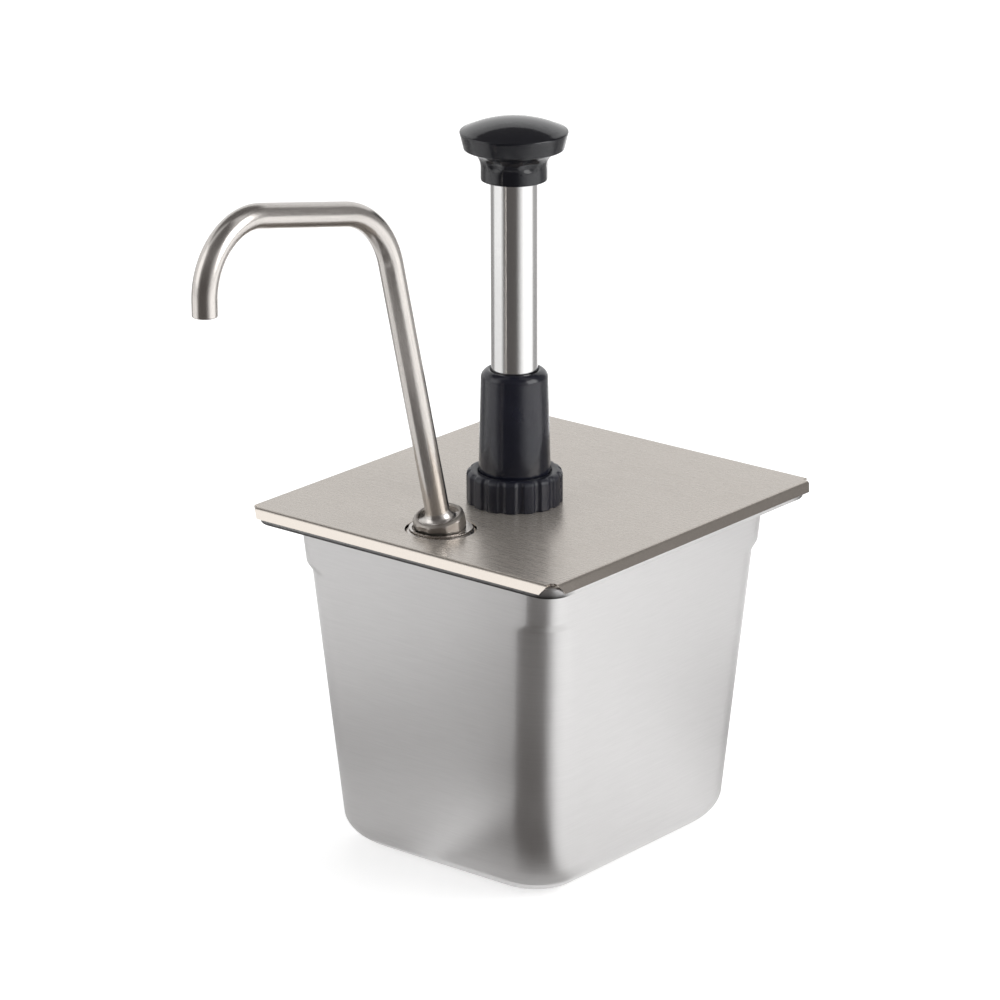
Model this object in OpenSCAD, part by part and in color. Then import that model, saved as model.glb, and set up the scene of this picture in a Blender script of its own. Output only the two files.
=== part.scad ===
// Counter sauce dispenser: a drawn food pan, a folded sheet lid and a hand pump with a swivelling spout.
// Millimetres, +Z up, X along the pan's long side, origin at the centre of the pan's flat base.
// The pump hangs from the lid. A leaning discharge tube carries the sauce from the pump's foot to the spout.

/* [Pan] */
// Length of the pan's rim along X
pan_l = 176; // [168:1:200]
// Width of the pan's rim along Y
pan_w = 162; // [150:1:190]
// Height from the base to the top of the rim
pan_h = 152; // [148:1:165]
// Thickness of the pan's sheet
pan_t = 0.9; // [0.7:0.1:1.2]
// Width of the flat rim, from the wall to its outer edge
rim_w = 11; // [10.4:0.1:12]
// Draft of the walls in degrees
draft = 4.4; // [2:0.1:6]
// Corner radius of the rim
rim_corner_r = 10; // [8:0.5:14]
// Corner radius of the walls above the stacking shoulder
upper_corner_r = 12; // [9:0.5:14]
// Corner radius of the walls below the stacking shoulder
lower_corner_r = 17; // [15:0.5:22]
// Corner radius of the flat base
base_corner_r = 18; // [8:0.5:20]
// Depth of the stacking shoulder below the rim
shoulder_drop = 18; // [14:0.5:22]
// Height over which the shoulder blends into the lower walls
shoulder_h = 11; // [9:0.5:16]
// Radius between the walls and the base
base_r = 15.5; // [13:0.5:22]
// Radius where the wall turns out into the rim
rim_bend_r = 3.4; // [2.5:0.1:4.5]
// Radius of the rim's outer edge
rim_edge_r = 2.4; // [1.8:0.1:2.8]
// Depth of the rim's turned-down lip
lip_h = 4.8; // [4:0.1:6.5]

/* [Lid] */
// Thickness of the lid's sheet
lid_t = 1; // [0.8:0.1:1.5]
// Distance of the lid's fold lines outside the rim
lid_margin = 0.2; // [0.1:0.1:2]
// Angle of the bent edges below the lid's plane in degrees
fold_a = 61; // [50:1:66]
// Inside radius of the folds
fold_r = 1; // [0.6:0.1:1.4]
// Drop of the bent edges below the lid's top
fold_drop = 4; // [3.4:0.1:5]
// Corner radius of the lid's flat top
lid_corner_r = 4; // [2:0.5:8]
// Shortening of each bent edge at the top of its ends
fold_end_top = 3.4; // [2:0.1:6]
// Shortening of each bent edge at the bottom of its ends
fold_end_low = 6.4; // [4:0.1:10]

/* [Pump layout] */
// Gap between the pan's wall and the outlet fitting, at the rim
fitting_wall_gap = 2.1; // [1.4:0.1:2.6]
// Distance between the pump's axis and the spout's hole in the lid
spout_gap = 48.3; // [46:0.1:52]
// Distance of the outlet port outside the foot's cup
outlet_offset = 1.2; // [1:0.1:2]
// Gap between the pan's floor and the inlet
foot_gap = 3; // [2:0.5:6]
// Stroke of the plunger
stroke = 60; // [40:1:62]
// Gap between the sleeve and the knob at the end of the stroke
stroke_spare = 21.2; // [12:0.1:30]

/* [Locking ring and sleeve] */
// Radius of the locking ring over its lobes
ring_r = 20.2; // [19.8:0.1:22]
// Height of the locking ring
ring_h = 13.6; // [12.8:0.1:16]
// Edge round at the top of the locking ring
ring_round = 2.2; // [1:0.1:2.6]
// Count of grooves round the locking ring
ring_grooves = 16; // [10:1:20]
// Radius of each groove
groove_r = 1.5; // [1:0.1:1.8]
// Depth of each groove
groove_depth = 0.7; // [0.3:0.1:0.9]
// Radius of the cylinder's threaded neck
neck_r = 17.4; // [17:0.1:17.6]
// Height of the neck above the lid
neck_h = 9; // [7:0.5:9.4]
// Thickness of the sleeve's base flange
sleeve_flange_t = 2; // [1.5:0.1:2.4]
// Height of the sleeve's top above the lid
sleeve_h = 57.5; // [50:0.5:66]
// Radius of the sleeve where it leaves the ring
sleeve_low_r = 15.2; // [14.8:0.1:15.8]
// Radius of the sleeve under its rounded top
sleeve_top_r = 14.1; // [13.6:0.1:14.8]
// Radius of the sleeve's rounded top edge
sleeve_round = 3.8; // [2.5:0.1:4]
// Length of the sleeve's skirt below the neck's top
skirt_l = 18.2; // [14:0.2:22]
// Length of the guide bore above the skirt's hollow
guide_l = 30; // [20:1:40]

/* [Plunger] */
// Radius of the plunger tube
plunger_r = 9.8; // [9.4:0.1:9.9]
// Wall of the plunger tube
plunger_wall = 1.2; // [1:0.1:1.6]
// Height of the piston
piston_h = 10; // [9:0.5:12]
// Length of the piston's spigot inside the tube
spigot_l = 16; // [12:1:20]
// Height of the piston seal
seal_h = 4; // [3:0.1:5]
// Radial thickness of the piston seal
seal_w = 2.2; // [1.6:0.1:2.6]
// Radius of the piston's cross pin
piston_pin_r = 1.5; // [1:0.1:2]
// Height of the plug in the tube's top
plug_h = 12; // [8:1:16]
// Radius of the knob's stud
stud_r = 4; // [3:0.1:5]
// Length of stud inside the plug
stud_in_plug = 10; // [6:1:11]

/* [Knob] */
// Radius of the knob's rim
knob_r = 22.4; // [21:0.1:25]
// Radius of the knob's underside edge
knob_under_r = 20.6; // [19.8:0.1:21]
// Radius of the knob's skirt
knob_skirt_r = 13.8; // [13:0.1:15]
// Height of the skirt
knob_skirt_h = 4.4; // [3.6:0.1:6]
// Height of the hollow neck between skirt and underside
knob_neck_h = 8.6; // [7.6:0.1:10]
// Height of the slanted rim band
knob_band_h = 6.8; // [5.6:0.1:8]
// Rise of the domed top above the band
knob_dome_h = 5; // [4.2:0.1:6]
// Round between band and dome
knob_edge_r = 0.8; // [0.6:0.1:1.2]
// Count of finger scoops in the neck
scoops = 6; // [4:1:8]
// Radius of each finger scoop
scoop_r = 8; // [6:0.5:9]
// Turn of the finger scoops about the knob's axis in degrees
scoop_turn = 5; // [0:1:59]
// Depth of each finger scoop into the neck
scoop_depth = 0.8; // [0.4:0.1:1.6]
// Depth of the tube's socket in the knob
knob_socket = 14; // [10:0.5:15]
// Length of stud inside the knob above the tube
stud_in_knob = 6.5; // [4:0.5:8]

/* [Cylinder and foot] */
// Radius of the cylinder's bore
bore_r = 12.6; // [12.2:0.1:12.8]
// Wall of the cylinder
cylinder_wall = 1.4; // [1.2:0.1:1.6]
// Radius of the cylinder's flange under the lid
cylinder_flange_r = 24; // [22:0.5:26]
// Thickness of the cylinder's flange
cylinder_flange_t = 2; // [1.5:0.1:3]
// Thickness of the gasket under the lid
gasket_t = 1.4; // [1:0.1:2]
// Wall of the foot's cup round the cylinder
cup_wall = 2.2; // [1.8:0.1:2.4]
// Depth of the cup
cup_h = 14; // [10:0.5:18]
// Height of the foot's valve block
block_h = 39; // [38:0.5:44]
// Radius of the inlet chamber
chamber_r = 7.4; // [7:0.1:7.8]
// Height of the outlet port above the foot's lower face
port_h = 20; // [17:0.5:22]
// Radius of the outlet port below its ball
passage_r = 2.6; // [2.5:0.1:2.8]
// Radius of the cross passage from the inlet chamber to the outlet port
cross_r = 2.3; // [1.8:0.1:2.4]
// Wall of the outlet boss
outlet_wall = 3; // [2.4:0.1:3.2]

/* [Valves and spring] */
// Radius of the inlet ball
inlet_ball_r = 5.5; // [5:0.1:6]
// Radius of the outlet ball
outlet_ball_r = 4.5; // [4.3:0.1:4.6]
// Lift of the balls off their seats
ball_lift = 3; // [2:0.1:3.5]
// Radius of the inlet bore
inlet_bore_r = 3.4; // [2.8:0.1:3.5]
// Radius of the inlet's threaded body
inlet_thread_r = 8.5; // [8.2:0.1:9]
// Length of the inlet's threaded body
inlet_thread_l = 10; // [8:0.5:11]
// Radius of the inlet's hexagon head over its corners
inlet_head_r = 13; // [12.5:0.1:14]
// Height of the inlet's head
inlet_head_h = 5; // [4:0.5:6]
// Depth of the slots across the inlet's head
inlet_slot_h = 2; // [1:0.2:3]
// Width of the slots across the inlet's head
inlet_slot_w = 4; // [2:0.5:5]
// Radius of the ball stop pin
stop_pin_r = 1.25; // [1:0.05:1.6]
// Thickness of the spring's seat plate
seat_plate_t = 1.6; // [1.2:0.1:2]
// Diameter of the spring's wire
wire_d = 1.8; // [1.4:0.1:2]
// Radius of the spring's centre line
spring_r = 10.1; // [9.8:0.1:10.4]
// Turns of the spring
spring_turns = 9; // [7:1:10]
// Gap between the closed turns at the spring's ends
closed_gap = 0.6; // [0.5:0.1:1]
// Section diameter of the large seal rings
o_ring_d = 1.5; // [1.2:0.1:1.8]

/* [Spout] */
// Outside radius of the spout and the discharge tube
tube_r = 5.1; // [4.8:0.1:5.2]
// Wall of the spout and the discharge tube
tube_wall = 1; // [0.8:0.1:1.2]
// Length of the riser from the lid's top to the first bend
riser_l = 123.4; // [100:0.2:140]
// Radius of the first bend's centre line
bend_r = 35.5; // [20:0.1:40]
// Rise of the arm in degrees
arm_rise = 11.2; // [0:0.2:20]
// Length of the straight arm
arm_l = 50.5; // [30:0.1:70]
// Radius of the second bend's centre line
tip_bend_r = 27.2; // [20:0.1:35]
// Length of the straight tip
tip_l = 6.4; // [4:0.1:15]
// Radius of the spout's flared foot
flare_r = 8.3; // [7.6:0.1:8.4]
// Height of the flare
flare_h = 4.4; // [3:0.1:6]
// Thickness of the foot's clamped flange
foot_flange_t = 0.9; // [0.6:0.1:1.2]

/* [Outlet fitting and nut] */
// Radius of the spout's hole in the lid
outlet_hole_r = 14.9; // [14:0.1:15.4]
// Radius of the fitting's boss in that hole
boss_r = 13.2; // [13:0.1:13.5]
// Height of the boss above the lid
boss_proud = 0.8; // [0.4:0.1:1.5]
// Depth of the boss below the lid
boss_drop = 5; // [4:0.1:8]
// Radius of the fitting's threaded stem
stem_r = 9.1; // [8.9:0.1:9.2]
// Depth of the tube's socket boss below the lid
socket_drop = 17; // [14:0.5:22]
// Wall of the socket boss
socket_wall = 2.6; // [2:0.1:3]
// Gap round the nut in the boss's recess
nut_gap = 0.7; // [0.5:0.1:0.9]
// Height of the shoulder under the nut
nut_shoulder_h = 0.3; // [0.2:0.1:0.6]
// Radius of the union nut over its corners
nut_r = 11; // [10.8:0.1:11.4]
// Count of flats on the union nut
nut_flats = 10; // [6:2:12]
// Height of the union nut
nut_h = 6.4; // [6:0.1:7]
// Thickness of the nut's lip over the spout's foot
nut_lip_t = 1; // [0.7:0.1:1.4]
// Chamfer on the nut's upper corners
nut_chamfer = 1.3; // [0.5:0.1:1.5]

/* [Clearances] */
// Radial play of sliding and turning fits
fit = 0.05; // [0.02:0.01:0.08]
// Play between seated pieces
play = 0.1; // [0.06:0.02:0.14]
// Gap between a ball and its seat
ball_gap = 0.12; // [0.08:0.02:0.16]
// Radial gap of free passing pieces
clear = 0.4; // [0.3:0.05:0.5]

/* [Hidden] */
$fn = 72;

steel = [0.78, 0.77, 0.75];
bright_steel = [0.86, 0.86, 0.87];
black_plastic = [0.09, 0.09, 0.10];
white_plastic = [0.88, 0.87, 0.83];
seal_rubber = [0.16, 0.16, 0.17];

// Axes of the pump and of the spout's hole
spout_x = rim_w + pan_t + fitting_wall_gap + boss_r - pan_l / 2;
pump_x = spout_x + spout_gap;

// Heights, from the pan's base upwards
lid_top = pan_h + lid_t;
inlet_z = pan_t + foot_gap;
foot_z = inlet_z + inlet_head_h;
port_z = foot_z + port_h;
cup_z = foot_z + block_h;
inlet_top_z = foot_z + inlet_thread_l;
cylinder_z = cup_z + o_ring_d;
seat_top_z = cup_z + seat_plate_t;
neck_top = lid_top + neck_h;
sleeve_top = lid_top + sleeve_h;
piston_top = neck_top - skirt_l - play;
piston_z = piston_top - piston_h;
spring_low = seat_top_z + play;
spring_len = piston_z - play - spring_low;
knob_z = sleeve_top + stroke + stroke_spare;
tube_top = knob_z + knob_socket - play;

// Rings in each turn of the spring, and sides of its wire
turn_rings = 8;
wire_sides = 6;

// Radii that follow from the fits
cylinder_r = bore_r + cylinder_wall;
cup_r = cylinder_r + fit + cup_wall;
outlet_reach = cup_r + outlet_offset;
plunger_bore_r = plunger_r - plunger_wall;
spigot_r = plunger_bore_r - fit;
piston_r = bore_r - clear;
skirt_r = bore_r - play;
guide_r = plunger_r + fit;
tube_bore_r = tube_r - tube_wall;
socket_r = tube_r + fit;
outlet_boss_r = socket_r + outlet_wall;
small_ring_d = 0.8 * o_ring_d;
outlet_chamber_r = outlet_ball_r + 1.5 * clear;
spring_hole_r = spring_r * cos(180 / turn_rings) - wire_d / 2 - clear;

// Small forms: broken edges, the wiper's pocket and the piston's stub
break_edge = 0.5;
wiper_w = 1.6;
wiper_h = 3;
wiper_z = sleeve_h - neck_h - sleeve_round - wiper_h - 1;
stub_l = 5;
seal_slack = 0.6 * play;
seal_groove_z = (piston_h - seal_h) / 2 + break_edge;

// Lean of the discharge tube, and lengths along its axis, from the lid's top
lean = atan2(spout_gap - outlet_reach, lid_top - port_z);
port_s = -(lid_top - port_z) / cos(lean);
port_low_s = port_s - 1.3 * passage_r;
outlet_low_s = port_low_s - passage_r;
outlet_seat_s = port_s + 1.5 * passage_r;
outlet_cone_h = outlet_chamber_r - passage_r;
outlet_ball_s = outlet_seat_s - passage_r + (outlet_ball_r + ball_gap) * sqrt(2);
tube_low_s = outlet_ball_s + outlet_ball_r + ball_lift + play;
mouth_s = tube_low_s + 1.8 * tube_r;
recess_r = nut_r + nut_gap;
recess_s = 0.2;
nut_s = recess_s + nut_shoulder_h;
lip_s = nut_s + nut_h - nut_lip_t;
stem_h = lip_s - 2 * play - foot_flange_t;
spout_low_s = recess_s + 0.12 * nut_h;
tube_high_s = -1.2 * tube_r;

// Inlet ball: the cone of its seat is at 45 degrees
inlet_cone_h = 1.6;
inlet_ball_z = inlet_top_z - inlet_cone_h - inlet_bore_r + (inlet_ball_r + ball_gap) * sqrt(2);
stop_pin_z = inlet_ball_z + inlet_ball_r + ball_lift + play + stop_pin_r;

// Points on an arc about centre c, from angle a0 to a1 in n steps
function arc(c, r, a0, a1, n) = [for (i = [0:n]) let (a = a0 + (a1 - a0) * i / n) c + r * [cos(a), sin(a)]];

// Smooth step from 0 to 1
function ease(x) = let (t = max(0, min(1, x))) t * t * (3 - 2 * t);

// Pan: rings of [offset from the wall line at the rim, corner radius, height]
wall_steps = 5;
arc_steps = 5;
corner_steps = 7;
function wall_d(z) = -(pan_h - z) * tan(draft);
function wall_corner(z) = lower_corner_r + (upper_corner_r - lower_corner_r)
    * ease((z - pan_h + shoulder_drop + shoulder_h) / shoulder_h);
shoulder_z = [for (i = [0:wall_steps]) pan_h - shoulder_drop - shoulder_h + shoulder_h * i / wall_steps];
base_end_z = base_r * (1 - sin(draft));
base_mid_d = wall_d(base_end_z) - base_r * cos(draft);
function base_ring(r, a) = [base_mid_d + r * cos(a),
    base_corner_r + (lower_corner_r - base_corner_r) * cos(a) - (base_r - r) * cos(a), base_r + r * sin(a)];
base_angles = [for (i = [0:arc_steps + 1]) -90 + (90 - draft) * i / (arc_steps + 1)];
under_r = rim_bend_r - pan_t;
bend_z = pan_h - rim_bend_r;
bend_d = wall_d(bend_z) + under_r / cos(draft);
function bend_ring(r, a) = [bend_d + r * cos(a), upper_corner_r + (under_r - r), bend_z + r * sin(a)];
function edge_ring(r, a) = [rim_w - rim_edge_r + r * cos(a), rim_corner_r - rim_edge_r + r,
    pan_h - rim_edge_r + r * sin(a)];
bend_angles = [for (i = [0:3]) 180 - draft - (90 - draft) * i / 3];
edge_angles = [for (i = [0:3]) 90 - 30 * i];
function reversed(v) = [for (i = [len(v) - 1:-1:0]) v[i]];
pan_rings = concat(
    [for (a = base_angles) base_ring(base_r, a)],
    [for (z = shoulder_z) [wall_d(z), wall_corner(z), z]],
    [for (a = bend_angles) bend_ring(under_r, a)],
    [for (a = edge_angles) edge_ring(rim_edge_r - pan_t, a)],
    [[rim_w - pan_t, rim_corner_r - pan_t, pan_h - lip_h], [rim_w, rim_corner_r, pan_h - lip_h]],
    [for (a = reversed(edge_angles)) edge_ring(rim_edge_r, a)],
    [for (a = reversed(bend_angles)) bend_ring(rim_bend_r, a)],
    [for (z = reversed(shoulder_z)) [wall_d(z) - pan_t / cos(draft), wall_corner(z) - pan_t, z]],
    [for (a = reversed(base_angles)) base_ring(base_r - pan_t, a)]);
corner_signs = [[1, 1], [-1, 1], [-1, -1], [1, -1]];
function ring_points(ring) = let (r = ring[1], d = ring[0] - rim_w, l = pan_l / 2 + d, w = pan_w / 2 + d)
    [for (k = [0:3]) for (i = [0:corner_steps]) let (a = 90 * k + 90 * i / corner_steps)
        [corner_signs[k][0] * (l - r) + r * cos(a), corner_signs[k][1] * (w - r) + r * sin(a), ring[2]]];

// A closed skin over rings of n points each, from the first ring's cap to the last ring's cap
module skin(rings, n) {
    points = [for (ring = rings) each ring];
    last = len(rings) - 1;
    sides = [for (k = [0:last - 1]) for (i = [0:n - 1]) let (j = (i + 1) % n)
        each [[k * n + i, (k + 1) * n + i, (k + 1) * n + j], [k * n + i, (k + 1) * n + j, k * n + j]]];
    polyhedron(points, concat([[for (i = [0:n - 1]) i]], sides, [[for (i = [n - 1:-1:0]) last * n + i]]));
}

// A skin over rings of n points each whose last ring joins the first, as on a tube's outside and bore
module hollow_skin(rings, n) {
    points = [for (ring = rings) each ring];
    count = len(rings);
    polyhedron(points, [for (k = [0:count - 1]) for (i = [0:n - 1]) let (j = (i + 1) % n, m = (k + 1) % count)
        each [[k * n + i, m * n + i, m * n + j], [k * n + i, m * n + j, k * n + j]]]);
}

// Spring: centre line as a function of the turn, with closed end turns
closed_pitch = wire_d + closed_gap;
open_pitch = (spring_len - wire_d - 2 * closed_pitch) / (spring_turns - 2);
function spring_height(t) = wire_d / 2 + min(t, 1) * closed_pitch
    + max(0, min(t, spring_turns - 1) - 1) * open_pitch + max(0, t - spring_turns + 1) * closed_pitch;
spring_rings = spring_turns * turn_rings;
function spring_point(i) = let (a = 360 * i / turn_rings)
    [spring_r * cos(a), spring_r * sin(a), spring_height(i / turn_rings)];
function wire_ring(i) = let (a = 360 * i / turn_rings, c = spring_point(i))
    [for (k = [0:wire_sides - 1]) let (b = -360 * k / wire_sides)
        c + wire_d / 2 * [cos(b) * cos(a), cos(b) * sin(a), sin(b)]];
spring_self_gap = min([for (i = [0:spring_rings])
    for (j = [i + turn_rings - 1:1:min(spring_rings, i + turn_rings + 1)])
        norm(spring_point(i) - spring_point(j))]) - wire_d;
echo(spring_self_gap = spring_self_gap);

module at_pump(z) {
    translate([pump_x, 0, z]) children();
}

// Local +Z runs up the leaning axis of the discharge tube; 0 is the lid's top
module along_outlet(s) {
    translate([spout_x, 0, lid_top]) rotate([0, -lean, 0]) translate([0, 0, s]) children();
}

module pipe(r_out, r_in, h) {
    difference() {
        cylinder(r = r_out, h = h);
        translate([0, 0, -1]) cylinder(r = r_in, h = h + 2);
    }
}

module seal_ring(r_mid, d) {
    rotate_extrude() translate([r_mid, 0]) circle(d = d, $fn = 24);
}

module rounded_plate(l, w, r, h) {
    translate([-l / 2 + r, -w / 2, 0]) cube([l - 2 * r, w, h]);
    translate([-l / 2, -w / 2 + r, 0]) cube([l, w - 2 * r, h]);
    for (x = [-1, 1], y = [-1, 1]) {
        translate([x * (l / 2 - r), y * (w / 2 - r), 0]) cylinder(r = r, h = h);
    }
}

module pan() {
    color(steel) skin([for (ring = pan_rings) ring_points(ring)], 4 * (corner_steps + 1));
}

// One bent edge of the lid: its section lies in X (outwards) and Z, and runs along Y
module bent_edge(length) {
    outer_r = fold_r + lid_t;
    start = -outer_r * tan(fold_a / 2);
    mid = [start, -outer_r];
    run = (fold_drop - outer_r * (1 - cos(fold_a))) / sin(fold_a);
    tail = run * [cos(fold_a), -sin(fold_a)];
    outer = arc(mid, outer_r, 90, 90 - fold_a, 6);
    inner = arc(mid, fold_r, 90 - fold_a, 90, 6);
    lap = [-fold_r - lid_t, 0];
    section = concat([outer[0] + lap], outer, [outer[6] + tail, inner[0] + tail], inner, [inner[6] + lap]);
    half = length / 2;
    intersection() {
        rotate([90, 0, 0]) linear_extrude(height = length, center = true) polygon(section);
        rotate([90, 0, 90]) linear_extrude(height = 4 * fold_drop, center = true) polygon([
            [-half + fold_end_top, 1], [half - fold_end_top, 1], [half - fold_end_top, -lid_t],
            [half - fold_end_low, -fold_drop - 1], [-half + fold_end_low, -fold_drop - 1],
            [-half + fold_end_top, -lid_t]]);
    }
}

module lid_plate() {
    fold_l = pan_l + 2 * lid_margin;
    fold_w = pan_w + 2 * lid_margin;
    inset = (fold_r + lid_t) * tan(fold_a / 2) + break_edge;
    color(steel) difference() {
        union() {
            translate([0, 0, pan_h])
                rounded_plate(fold_l - 2 * inset, fold_w - 2 * inset, lid_corner_r, lid_t);
            for (side = [0, 180]) {
                rotate(side) translate([fold_l / 2, 0, lid_top]) bent_edge(fold_w);
                rotate(side + 90) translate([fold_w / 2, 0, lid_top]) bent_edge(fold_l);
            }
        }
        at_pump(pan_h - 1) cylinder(r = neck_r + clear, h = lid_t + 2);
        translate([spout_x, 0, pan_h - 1]) cylinder(r = outlet_hole_r, h = lid_t + 2);
    }
}

module locking_ring() {
    lip_z = neck_h + sleeve_flange_t + play;
    color(black_plastic) at_pump(lid_top) difference() {
        rotate_extrude() polygon(concat(
            [[neck_r + fit, 0], [ring_r - break_edge, 0], [ring_r, break_edge]],
            arc([ring_r - ring_round, ring_h - ring_round], ring_round, 0, 90, 6),
            [[sleeve_low_r + play, ring_h], [sleeve_low_r + play, lip_z], [neck_r + fit, lip_z]]));
        for (k = [0:ring_grooves - 1]) {
            rotate(360 * k / ring_grooves) translate([ring_r + groove_r - groove_depth, 0, -1])
                cylinder(r = groove_r, h = ring_h + 2, $fn = 24);
        }
    }
}

module guide_sleeve() {
    top_h = sleeve_h - neck_h;
    lead = 2 * break_edge;
    hollow_low = wiper_h - skirt_l;
    color(black_plastic) at_pump(neck_top) difference() {
        rotate_extrude() polygon(concat(
            [[guide_r, -skirt_l], [skirt_r, -skirt_l], [skirt_r, 0], [neck_r, 0], [neck_r, sleeve_flange_t],
                [sleeve_low_r, sleeve_flange_t]],
            arc([sleeve_top_r - sleeve_round, top_h - sleeve_round], sleeve_round, 0, 78, 7),
            [[guide_r + lead, top_h - 0.3 * lead], [guide_r, top_h - 1.3 * lead]]));
        translate([0, 0, wiper_z]) cylinder(r = guide_r + wiper_w, h = wiper_h);
        translate([0, 0, hollow_low]) cylinder(r = guide_r + 0.7 * wiper_w, h = top_h - guide_l - hollow_low);
    }
}

module wiper_seal() {
    height = wiper_h - 2 * play;
    color(seal_rubber) at_pump(neck_top + wiper_z + play) rotate_extrude() polygon([
        [guide_r, break_edge], [guide_r + break_edge, 0], [guide_r + wiper_w - fit, 0],
        [guide_r + wiper_w - fit, height], [guide_r + break_edge, height], [guide_r, height - break_edge]]);
}

module lid_gasket() {
    color(seal_rubber) at_pump(pan_h - gasket_t) pipe(cylinder_flange_r - play, neck_r + play, gasket_t);
}

module pump_cylinder() {
    flange_top = pan_h - gasket_t;
    color(bright_steel) at_pump(0) rotate_extrude() polygon([
        [bore_r, cylinder_z], [cylinder_r, cylinder_z], [cylinder_r, flange_top - cylinder_flange_t],
        [cylinder_flange_r, flange_top - cylinder_flange_t], [cylinder_flange_r, flange_top],
        [neck_r, flange_top], [neck_r, neck_top], [bore_r, neck_top]]);
}

module cylinder_o_ring() {
    color(seal_rubber) at_pump(cup_z + o_ring_d / 2)
        seal_ring((bore_r + cylinder_r) / 2, o_ring_d - seal_slack);
}

// The foot's valve block: inlet chamber in the middle, outlet chamber in the leaning boss, passage between
module pump_foot() {
    color(black_plastic) difference() {
        union() {
            at_pump(foot_z) cylinder(r = cup_r, h = block_h + cup_h);
            along_outlet(outlet_low_s) cylinder(r = outlet_boss_r, h = mouth_s - outlet_low_s);
        }
        at_pump(cup_z) cylinder(r = cylinder_r + fit, h = cup_h + 1);
        at_pump(foot_z - 1) cylinder(r = inlet_thread_r + fit, h = inlet_thread_l + 1);
        at_pump(foot_z - 1) cylinder(r = inlet_thread_r + fit + o_ring_d + play, h = 1 + o_ring_d);
        at_pump(inlet_top_z - 1) cylinder(r = chamber_r, h = cup_z - inlet_top_z + 2);
        at_pump(stop_pin_z) rotate([90, 0, 0]) cylinder(r = stop_pin_r + fit, h = 4 * cup_r, center = true);
        translate([pump_x - outlet_reach, 0, port_z]) rotate([0, 90, 0])
            cylinder(r = cross_r, h = outlet_reach);
        along_outlet(port_low_s) cylinder(r = passage_r, h = mouth_s - port_low_s);
        along_outlet(outlet_seat_s) cylinder(r1 = passage_r, r2 = outlet_chamber_r, h = outlet_cone_h);
        along_outlet(outlet_seat_s + outlet_cone_h)
            cylinder(r = outlet_chamber_r, h = mouth_s - outlet_seat_s);
        along_outlet(tube_low_s - play) cylinder(r = socket_r, h = mouth_s - tube_low_s + 1);
        along_outlet(mouth_s - small_ring_d) cylinder(r = socket_r + small_ring_d, h = small_ring_d + 1);
    }
}

module inlet_seat() {
    color(steel) at_pump(inlet_z) difference() {
        union() {
            rotate(30) cylinder(r = inlet_head_r, h = inlet_head_h, $fn = 6);
            cylinder(r = inlet_thread_r, h = inlet_head_h + inlet_thread_l);
        }
        translate([0, 0, -1]) cylinder(r = inlet_bore_r, h = inlet_head_h + inlet_thread_l + 2);
        translate([0, 0, inlet_head_h + inlet_thread_l - inlet_cone_h])
            cylinder(r1 = inlet_bore_r, r2 = inlet_bore_r + inlet_cone_h, h = inlet_cone_h);
        for (turn = [0, 90]) {
            rotate(turn) translate([-2 * inlet_head_r, -inlet_slot_w / 2, -1])
                cube([4 * inlet_head_r, inlet_slot_w, inlet_slot_h + 1]);
        }
    }
}

module seat_o_ring() {
    color(seal_rubber) at_pump(foot_z + o_ring_d / 2)
        seal_ring(inlet_thread_r + fit + (o_ring_d + play) / 2, o_ring_d - seal_slack);
}

module inlet_ball() {
    color(bright_steel) at_pump(inlet_ball_z) sphere(r = inlet_ball_r);
}

module ball_stop_pin() {
    color(steel) at_pump(stop_pin_z) rotate([90, 0, 0])
        cylinder(r = stop_pin_r, h = 2 * cup_r - 2 * break_edge, center = true);
}

module outlet_ball() {
    color(bright_steel) along_outlet(outlet_ball_s) sphere(r = outlet_ball_r);
}

module spring_seat() {
    color(steel) at_pump(cup_z) difference() {
        cylinder(r = bore_r - clear, h = seat_plate_t);
        translate([0, 0, -1]) cylinder(r = chamber_r / 2, h = seat_plate_t + 2);
        for (k = [0:5]) {
            rotate(60 * k) translate([0.8 * chamber_r, 0, -1])
                cylinder(r = 0.18 * chamber_r, h = seat_plate_t + 2);
        }
    }
}

module return_spring() {
    color(steel) at_pump(spring_low) skin([for (i = [0:spring_rings]) wire_ring(i)], wire_sides);
}

// Piston: a grooved head, a spigot for the tube and a stub that centres the spring
module piston() {
    groove_bed_r = bore_r - fit - seal_w - fit;
    seal_top = seal_groove_z + seal_h;
    top = piston_h + spigot_l;
    color(white_plastic) at_pump(piston_z) difference() {
        rotate_extrude() polygon([
            [0, -stub_l], [spring_hole_r - 2 * break_edge, -stub_l],
            [spring_hole_r, -stub_l + 2 * break_edge],
            [spring_hole_r, 0], [piston_r - break_edge, 0], [piston_r, break_edge], [piston_r, seal_groove_z],
            [groove_bed_r, seal_groove_z], [groove_bed_r, seal_top], [piston_r, seal_top],
            [piston_r, piston_h - break_edge], [piston_r - break_edge, piston_h], [spigot_r, piston_h],
            [spigot_r, top - 2 * break_edge], [spigot_r - 2 * break_edge, top], [0, top]]);
        translate([0, 0, piston_h + spigot_l / 2]) rotate([90, 0, 0])
            cylinder(r = piston_pin_r + fit, h = 4 * plunger_r, center = true);
    }
}

module piston_seal() {
    lip = bore_r - fit;
    height = seal_h - 2 * play;
    color(seal_rubber) at_pump(piston_z + seal_groove_z + play) rotate_extrude() polygon([
        [lip - seal_w, 0], [lip, 0], [lip, 0.3 * height], [lip - break_edge, 0.5 * height],
        [lip, 0.7 * height],
        [lip, height], [lip - seal_w, height]]);
}

module piston_pin() {
    color(steel) at_pump(piston_top + spigot_l / 2) rotate([90, 0, 0])
        cylinder(r = piston_pin_r, h = 2 * plunger_r - 2 * break_edge, center = true);
}

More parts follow.
